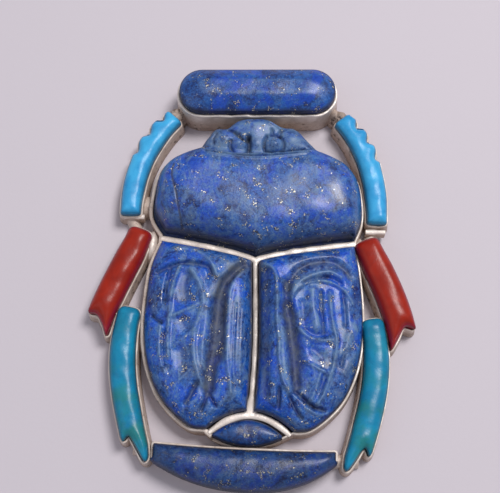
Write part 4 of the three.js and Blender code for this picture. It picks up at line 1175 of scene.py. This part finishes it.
class AMULET_OT_wing_cases(bpy.types.Operator, Maker):
    """Makes the two carved wing cases"""

    bl_idname = "amulet.wing_cases"
    bl_label = "Wing cases"

    def execute(self, context):
        finish = self.lapis("wing lapis", 0.85, 0.95, 0.04)
        for side, word in ((LEFT, "left"), (RIGHT, "right")):
            shell = Shell()
            raise_grid(shell, wing_grid(side, 0.1), wing_grid(side), wing_height(side), BODY_WALL_HEIGHT + 0.06)
            shell.build(f"{word}_wing_stone", finish, [f"lapis_{word}_wing_case"])
        return {"FINISHED"}


class AMULET_OT_tail(bpy.types.Operator, Maker):
    """Makes the lens under the arch"""

    bl_idname = "amulet.tail"
    bl_label = "Tail"

    def execute(self, context):
        shell = Shell()
        outline = anticlockwise(evenly(tail_outline(), 240))
        lower = facing(outline, (0, -1))
        centre = np.array([TAIL_OFF_CENTRE, mix(tail_top(TAIL_HALF_WIDTH), TAIL_LOW_Y, 0.1)])
        height = domed(BODY_WALL_HEIGHT + STONE_STEP, TAIL_DOME, TAIL_EDGE_REACH, 7)
        raise_rings(shell, outline, 0.08 + 0.2 * lower, centre, height, 30, mix(BODY_WALL_HEIGHT + 0.06, 1.3, lower))
        shell.build("tail_stone", self.lapis("tail lapis", 0.1, 0.52, 0.1), ["lapis_tail"])
        return {"FINISHED"}


class AMULET_OT_crescent(bpy.types.Operator, Maker):
    """Makes the crescent under the tail, which hangs over its wall along the lower edge"""

    bl_idname = "amulet.crescent"
    bl_label = "Crescent"

    def execute(self, context):
        shell = Shell()
        outline = crescent_line()
        lower = facing(outline, (0, -1))
        centre = np.array([CRESCENT_OFF_CENTRE, CRESCENT_TOP_Y - 0.42 * CRESCENT_DEPTH])
        height = domed(CRESCENT_WALL_HEIGHT + STONE_STEP, CRESCENT_DOME, CRESCENT_EDGE_REACH, 9)
        ledge = mix(CRESCENT_WALL_HEIGHT + 0.06, 1.1, lower)
        raise_rings(shell, outline, 0.08 + 0.43 * lower, centre, height, 50, ledge)
        shell.build("crescent_stone", self.lapis("crescent lapis", 0.6, 0.4, 0.0), ["lapis_crescent"])
        return {"FINISHED"}


def crescent_line():
    return anticlockwise(evenly(crescent_outline(), 380))


# How far the stones of the legs reach over their rims, all round and on the outer edge
LEG_LIPS = {"front": (0.12, 0.12), "middle": (0.12, 0.34), "hind": (0.12, 0.14)}


def make_legs(kind, stone, dome, finish, seed):
    for side, word in ((LEFT, "left"), (RIGHT, "right")):
        shell = Shell()
        width = leg_path(side, kind)[1]
        height = domed(LEG_WALL_HEIGHT + STONE_STEP, dome, width * 0.48, seed + side, 0.06)
        raise_grid(shell, leg_grid(side, kind, *LEG_LIPS[kind]), leg_grid(side, kind), height, LEG_WALL_HEIGHT + 0.06)
        shell.build(f"{word}_{kind}_leg_stone", finish, [f"{stone}_{word}_{kind}_leg"])


class AMULET_OT_front_legs(bpy.types.Operator, Maker):
    """Makes the notched sky-blue front legs"""

    bl_idname = "amulet.front_legs"
    bl_label = "Front legs"

    def execute(self, context):
        looks = context.scene.amulet_stones
        finish = turquoise_finish(
            "sky turquoise", tuple(looks.sky_light), tuple(looks.sky_dark), tuple(looks.green), 0.12,
            tuple(looks.legs_edge_shade))
        make_legs("front", "turquoise", TURQUOISE_DOME, finish, 21)
        return {"FINISHED"}


class AMULET_OT_middle_legs(bpy.types.Operator, Maker):
    """Makes the coral middle legs"""

    bl_idname = "amulet.middle_legs"
    bl_label = "Middle legs"

    def execute(self, context):
        looks = context.scene.amulet_stones
        finish = coral_finish("coral", tuple(looks.coral_warm), tuple(looks.coral_deep), tuple(looks.coral_edge_shade_and_sheen))
        make_legs("middle", "coral", CORAL_DOME, finish, 31)
        return {"FINISHED"}


class AMULET_OT_hind_legs(bpy.types.Operator, Maker):
    """Makes the green-blue hind legs"""

    bl_idname = "amulet.hind_legs"
    bl_label = "Hind legs"

    def execute(self, context):
        looks = context.scene.amulet_stones
        finish = turquoise_finish(
            "teal turquoise", tuple(looks.teal_light), tuple(looks.teal_dark), tuple(looks.green), 0.7,
            tuple(looks.legs_edge_shade))
        make_legs("hind", "turquoise", TURQUOISE_DOME, finish, 41)
        return {"FINISHED"}


class AMULET_OT_setting(bpy.types.Operator, Maker):
    """Makes the silver cells, the strips between the body's stones and the solder"""

    bl_idname = "amulet.setting"
    bl_label = "Silver setting"

    def execute(self, context):
        looks = context.scene.amulet_silver
        shell = Shell()
        self.body_wall(shell)
        bar = anticlockwise(evenly(bar_outline(), 420))
        # The bar's wall brightened: painted light.
        cell_wall(shell, bar, (0.1, 0.48), SIDE_GAP + WALL_THICKNESS, BAR_WALL_HEIGHT, 52, 1.6)
        crescent = crescent_line()
        lower = facing(crescent, (0, -1))
        # The crescent's wall brighter towards the right: painted light.
        right = smooth((crescent[:, 0] + 4) / 12)
        cell_wall(shell, crescent, (0.08, 0.38), 0.53 - 0.1 * lower, mix(CRESCENT_WALL_HEIGHT, 0.95, lower), 53,
                  mix(0.5, 0.85, right))
        for side in (LEFT, RIGHT):
            for number, kind in enumerate(("front", "middle", "hind")):
                rim = evenly(rim_of(leg_grid(side, kind)), 420)
                inward = facing(rim, (-side, 0), -0.2, 0.6)
                reach = SIDE_GAP + LEG_WALL_THICKNESS
                # Walls facing in towards the body are darker: painted shade.
                cell_wall(shell, rim, (0.08, 0.33), reach, LEG_WALL_HEIGHT, 60 + 3 * side + number, mix(0.95, 0.55, inward))
            self.joints(shell, side)
        self.strips(shell)
        self.lumps(shell)
        finish = silver_finish("old silver", tuple(looks.bright), tuple(looks.tarnish), tuple(looks.deep))
        shell.build("silver_setting", finish, ["silver_mount"])
        return {"FINISHED"}

    @staticmethod
    def body_wall(shell):
        outline = anticlockwise(evenly(body_outline(), 760))
        x, y = outline.T
        head = smooth((y - 0.75 * THORAX_LENGTH) / 2.5)
        tail = facing(outline, (0, -1)) * (np.abs(x - TAIL_OFF_CENTRE) < TAIL_HALF_WIDTH - 0.1) * (y < TAIL_LOW_Y + 2)
        foot_reach = SIDE_GAP + WALL_THICKNESS - 0.07 - 0.24 * head
        height = mix(BODY_WALL_HEIGHT - 0.15 * head, 1.0, tail)
        # Brighter towards the right: painted light; darker round the head.
        rub_and_light = mix(0.5, 1.0, smooth((x + 9) / 14)) * (1 - 0.45 * head)
        wide = 0.4 + 0.18 * facing(outline, (-1, -0.3)) * (1 - head)
        cell_wall(shell, outline, (0.08, wide), foot_reach, height, 51, rub_and_light)

    @staticmethod
    def strips(shell):
        half, low, high = 0.41, PLATE_THICKNESS - 0.05, BODY_WALL_HEIGHT + 0.15
        for side in (LEFT, RIGHT):
            x = (WAIST[side] * BODY_HALF_WIDTH + 0.25) * np.linspace(0, 1, 110) ** 1.3
            # The right strip is a little brighter than the left: painted light.
            ribbon(shell, np.stack([side * x, vee_line(x)], axis=1), half, low, high, 71 + side, 0.8 + 0.15 * side)
        y = np.linspace(vee_line(0.0) + 0.1, arch_line(0.0) - 0.1, 160)
        flare = 1 + 1.5 * smooth((arch_line(0.0) + 2.6 - y) / 2.6)
        ribbon(shell, np.stack([spine_bow(y), y], axis=1), 0.33 * flare, low, high, 75, 0.8)
        for start, end, y in ((-17.1, -14.5, 2.85), (14.0, 16.5, 1.8)):
            x = np.linspace(start, end, 30)
            ribbon(shell, np.stack([x, y + 0 * x], axis=1), 0.33, low, LEG_WALL_HEIGHT - 0.15, 79, 0.8)
        x = np.linspace(-ARCH_HALF_WIDTH + 0.25, ARCH_HALF_WIDTH - 0.25, 110)
        taper = 1 - 0.55 * np.abs(x / ARCH_HALF_WIDTH) ** 6
        ribbon(shell, np.stack([x, arch_line(x) - 0.08], axis=1), 0.44 * taper, low, high, 78, 0.9)

    @staticmethod
    def lumps(shell):
        """Solder at the waist, at the legs' roots and in the corners of the head."""
        blobs = [
            ((-13.3, -0.8), (0.95, 2.4), -0.1, 2.6, 0.75), ((13.35, -0.3), (0.6, 1.6), 0.1, 2.3, 0.85),
            ((-11.3, 17.2), (1.5, 1.1), 0.9, 3.3, -0.5), ((10.7, 17.6), (1.5, 1.0), -0.9, 3.3, -0.5),
            ((-17.3, -10.1), (0.9, 0.9), 0.0, 2.45, 0.9), ((15.9, -10.7), (0.7, 0.7), 0.0, 2.3, 0.8),
            ((-14.9, -1.2), (1.1, 0.7), 0.3, 2.2, 0.55), ((15.0, -0.9), (1.1, 0.7), -0.3, 2.2, 0.6),
            ((-5.2, -22.9), (0.7, 0.5), 0.4, 2.5, 0.6), ((5.0, -23.0), (0.7, 0.5), -0.4, 2.5, 0.7),
        ]
        for number, (place, radii, turn, height, rub_and_light) in enumerate(blobs):
            blob(shell, place, radii, turn, height, 90 + number, rub_and_light)

    @staticmethod
    def joints(shell, side):
        ends = {name: np.array([side * x + LEGS_OFF_CENTRE, y]) for name, (x, y) in leg_ends(side).items()}
        edge = side * 0.82 * BODY_HALF_WIDTH

        def to_body(point, drop, width, seed):
            solder(shell, (point[0], point[1] - drop), (edge, point[1] - drop), width, JOINT_HEIGHT, seed)

        tip = np.array([CRESCENT_OFF_CENTRE + side * (CRESCENT_HALF_LENGTH - 1.5), CRESCENT_TOP_Y - 0.8])
        bar_end = on_bar(np.array(side * (BAR_LENGTH / 2 - 2)), np.array(0.0))
        solder(shell, ends["front_root"], bar_end, 1.8, BAR_WALL_HEIGHT - 0.9, 81 + side, -0.3)
        solder(shell, ends["front_foot"], ends["middle_root"], 1.6, JOINT_HEIGHT, 82 + side)
        to_body(ends["front_foot"], -1.5, 3, 83 + side)
        to_body(ends["middle_root"], 0.6, 2.4, 84 + side)
        to_body(ends["hind_root"], 2, 4, 85 + side)
        solder(shell, ends["hind_root"], ends["middle_foot"], 1.6, JOINT_HEIGHT, 86 + side)
        solder(shell, ends["hind_foot"] - (0, 1), tip, 1.6, JOINT_HEIGHT, 87 + side)
        if side == LEFT:
            solder(shell, (0, HEAD_TOP_Y - 2), BAR_MIDDLE, HEAD_HALF_WIDTH, JOINT_HEIGHT, 88)
            solder(shell, (0, TAIL_LOW_Y + 1), (0, CRESCENT_TOP_Y - 1), TAIL_HALF_WIDTH, JOINT_HEIGHT, 89)


class AMULET_OT_stage(bpy.types.Operator, Maker):
    """Makes the floor, the lights and the camera"""

    bl_idname = "amulet.stage"
    bl_label = "Stage"

    def execute(self, context):
        looks = context.scene.amulet_stage
        mesh = bpy.data.meshes.new("floor")
        side = 1.2
        mesh.from_pydata([(-side, -side, 0), (side, -side, 0), (side, side, 0), (-side, side, 0)], [], [(0, 1, 2, 3)])
        paper = Finish("paper")
        fibres = paper.noise(0.5, detail=5, rough=0.7)
        stain = paper.noise(30, detail=3, rough=0.5)
        tone = fibres * 0.25 + stain * 0.35 + 0.2
        paper.set(base_color=paper.blend(tone, tuple(c * 0.94 for c in looks.paper), tuple(looks.paper)), roughness=0.85)
        paper.bump(fibres, 0.25, 0.06)
        mesh.materials.append(paper.material)
        floor = bpy.data.objects.new("floor", mesh)
        bpy.context.scene.collection.objects.link(floor)
        self.lamp("window", (0.16, 0.15, 0.43), 0.18, 1.8, (1.0, 0.98, 0.96))
        self.lamp("fill", (-0.25, -0.10, 0.30), 0.3, 0.12, (0.95, 0.96, 1.0))
        world = bpy.data.worlds.new("room")
        world.use_nodes = True
        world.node_tree.nodes["Background"].inputs[0].default_value = (0.78, 0.78, 0.84, 1)
        world.node_tree.nodes["Background"].inputs[1].default_value = 0.5
        context.scene.world = world
        context.scene.view_settings.view_transform = "Standard"
        camera = bpy.data.objects.new("camera", bpy.data.cameras.new("camera"))
        camera.data.sensor_width, camera.data.lens = 36, 72
        camera.data.clip_start, camera.data.clip_end = 0.005, 10
        target = Vector(((PLAN_X - 0.795) * MM, PLAN_Y * MM, 0))
        back = Vector((0, -math.sin(looks.tilt), math.cos(looks.tilt))) * looks.distance
        c, s = math.cos(looks.turn), math.sin(looks.turn)
        camera.location = target + Vector((c * back.x - s * back.y, s * back.x + c * back.y, back.z))
        camera.rotation_euler = (looks.tilt, 0, looks.turn)
        bpy.context.scene.collection.objects.link(camera)
        context.scene.camera = camera
        return {"FINISHED"}

    @staticmethod
    def lamp(name, place, width, power, tint):
        light = bpy.data.lights.new(name, "AREA")
        light.shape, light.size, light.energy, light.color = "DISK", width, power, tint
        lamp = bpy.data.objects.new(name, light)
        lamp.location = place
        lamp.rotation_euler = (-Vector(place)).to_track_quat("-Z", "Y").to_euler()
        bpy.context.scene.collection.objects.link(lamp)


class AMULET_PT_panel(bpy.types.Panel):
    """The amulet's looks and pieces"""

    bl_idname = "AMULET_PT_panel"
    bl_label = "Beetle Amulet"
    bl_space_type = "VIEW_3D"
    bl_region_type = "UI"
    bl_category = "Amulet"

    def draw(self, context):
        for group in ("amulet_stones", "amulet_silver", "amulet_stage"):
            looks = getattr(context.scene, group)
            box = self.layout.box()
            for key in looks.__annotations__:
                box.prop(looks, key)
        for operator in OPERATORS:
            self.layout.operator(operator.bl_idname)


GROUPS = {"amulet_stones": StoneLooks, "amulet_silver": SilverLooks, "amulet_stage": StageLooks}
OPERATORS = (
    AMULET_OT_bar, AMULET_OT_thorax, AMULET_OT_wing_cases, AMULET_OT_tail, AMULET_OT_crescent, AMULET_OT_front_legs,
    AMULET_OT_middle_legs, AMULET_OT_hind_legs, AMULET_OT_setting, AMULET_OT_stage,
)


def register():
    for group in GROUPS.values():
        bpy.utils.register_class(group)
    for name, group in GROUPS.items():
        setattr(bpy.types.Scene, name, bpy.props.PointerProperty(type=group))
    for operator in OPERATORS:
        bpy.utils.register_class(operator)
    bpy.utils.register_class(AMULET_PT_panel)


def unregister():
    bpy.utils.unregister_class(AMULET_PT_panel)
    for operator in reversed(OPERATORS):
        bpy.utils.unregister_class(operator)
    for name, group in GROUPS.items():
        delattr(bpy.types.Scene, name)
        bpy.utils.unregister_class(group)


def main():
    register()
    for operator in OPERATORS:
        group, name = operator.bl_idname.split(".")
        getattr(getattr(bpy.ops, group), name)()


if __name__ == "__main__":
    main()
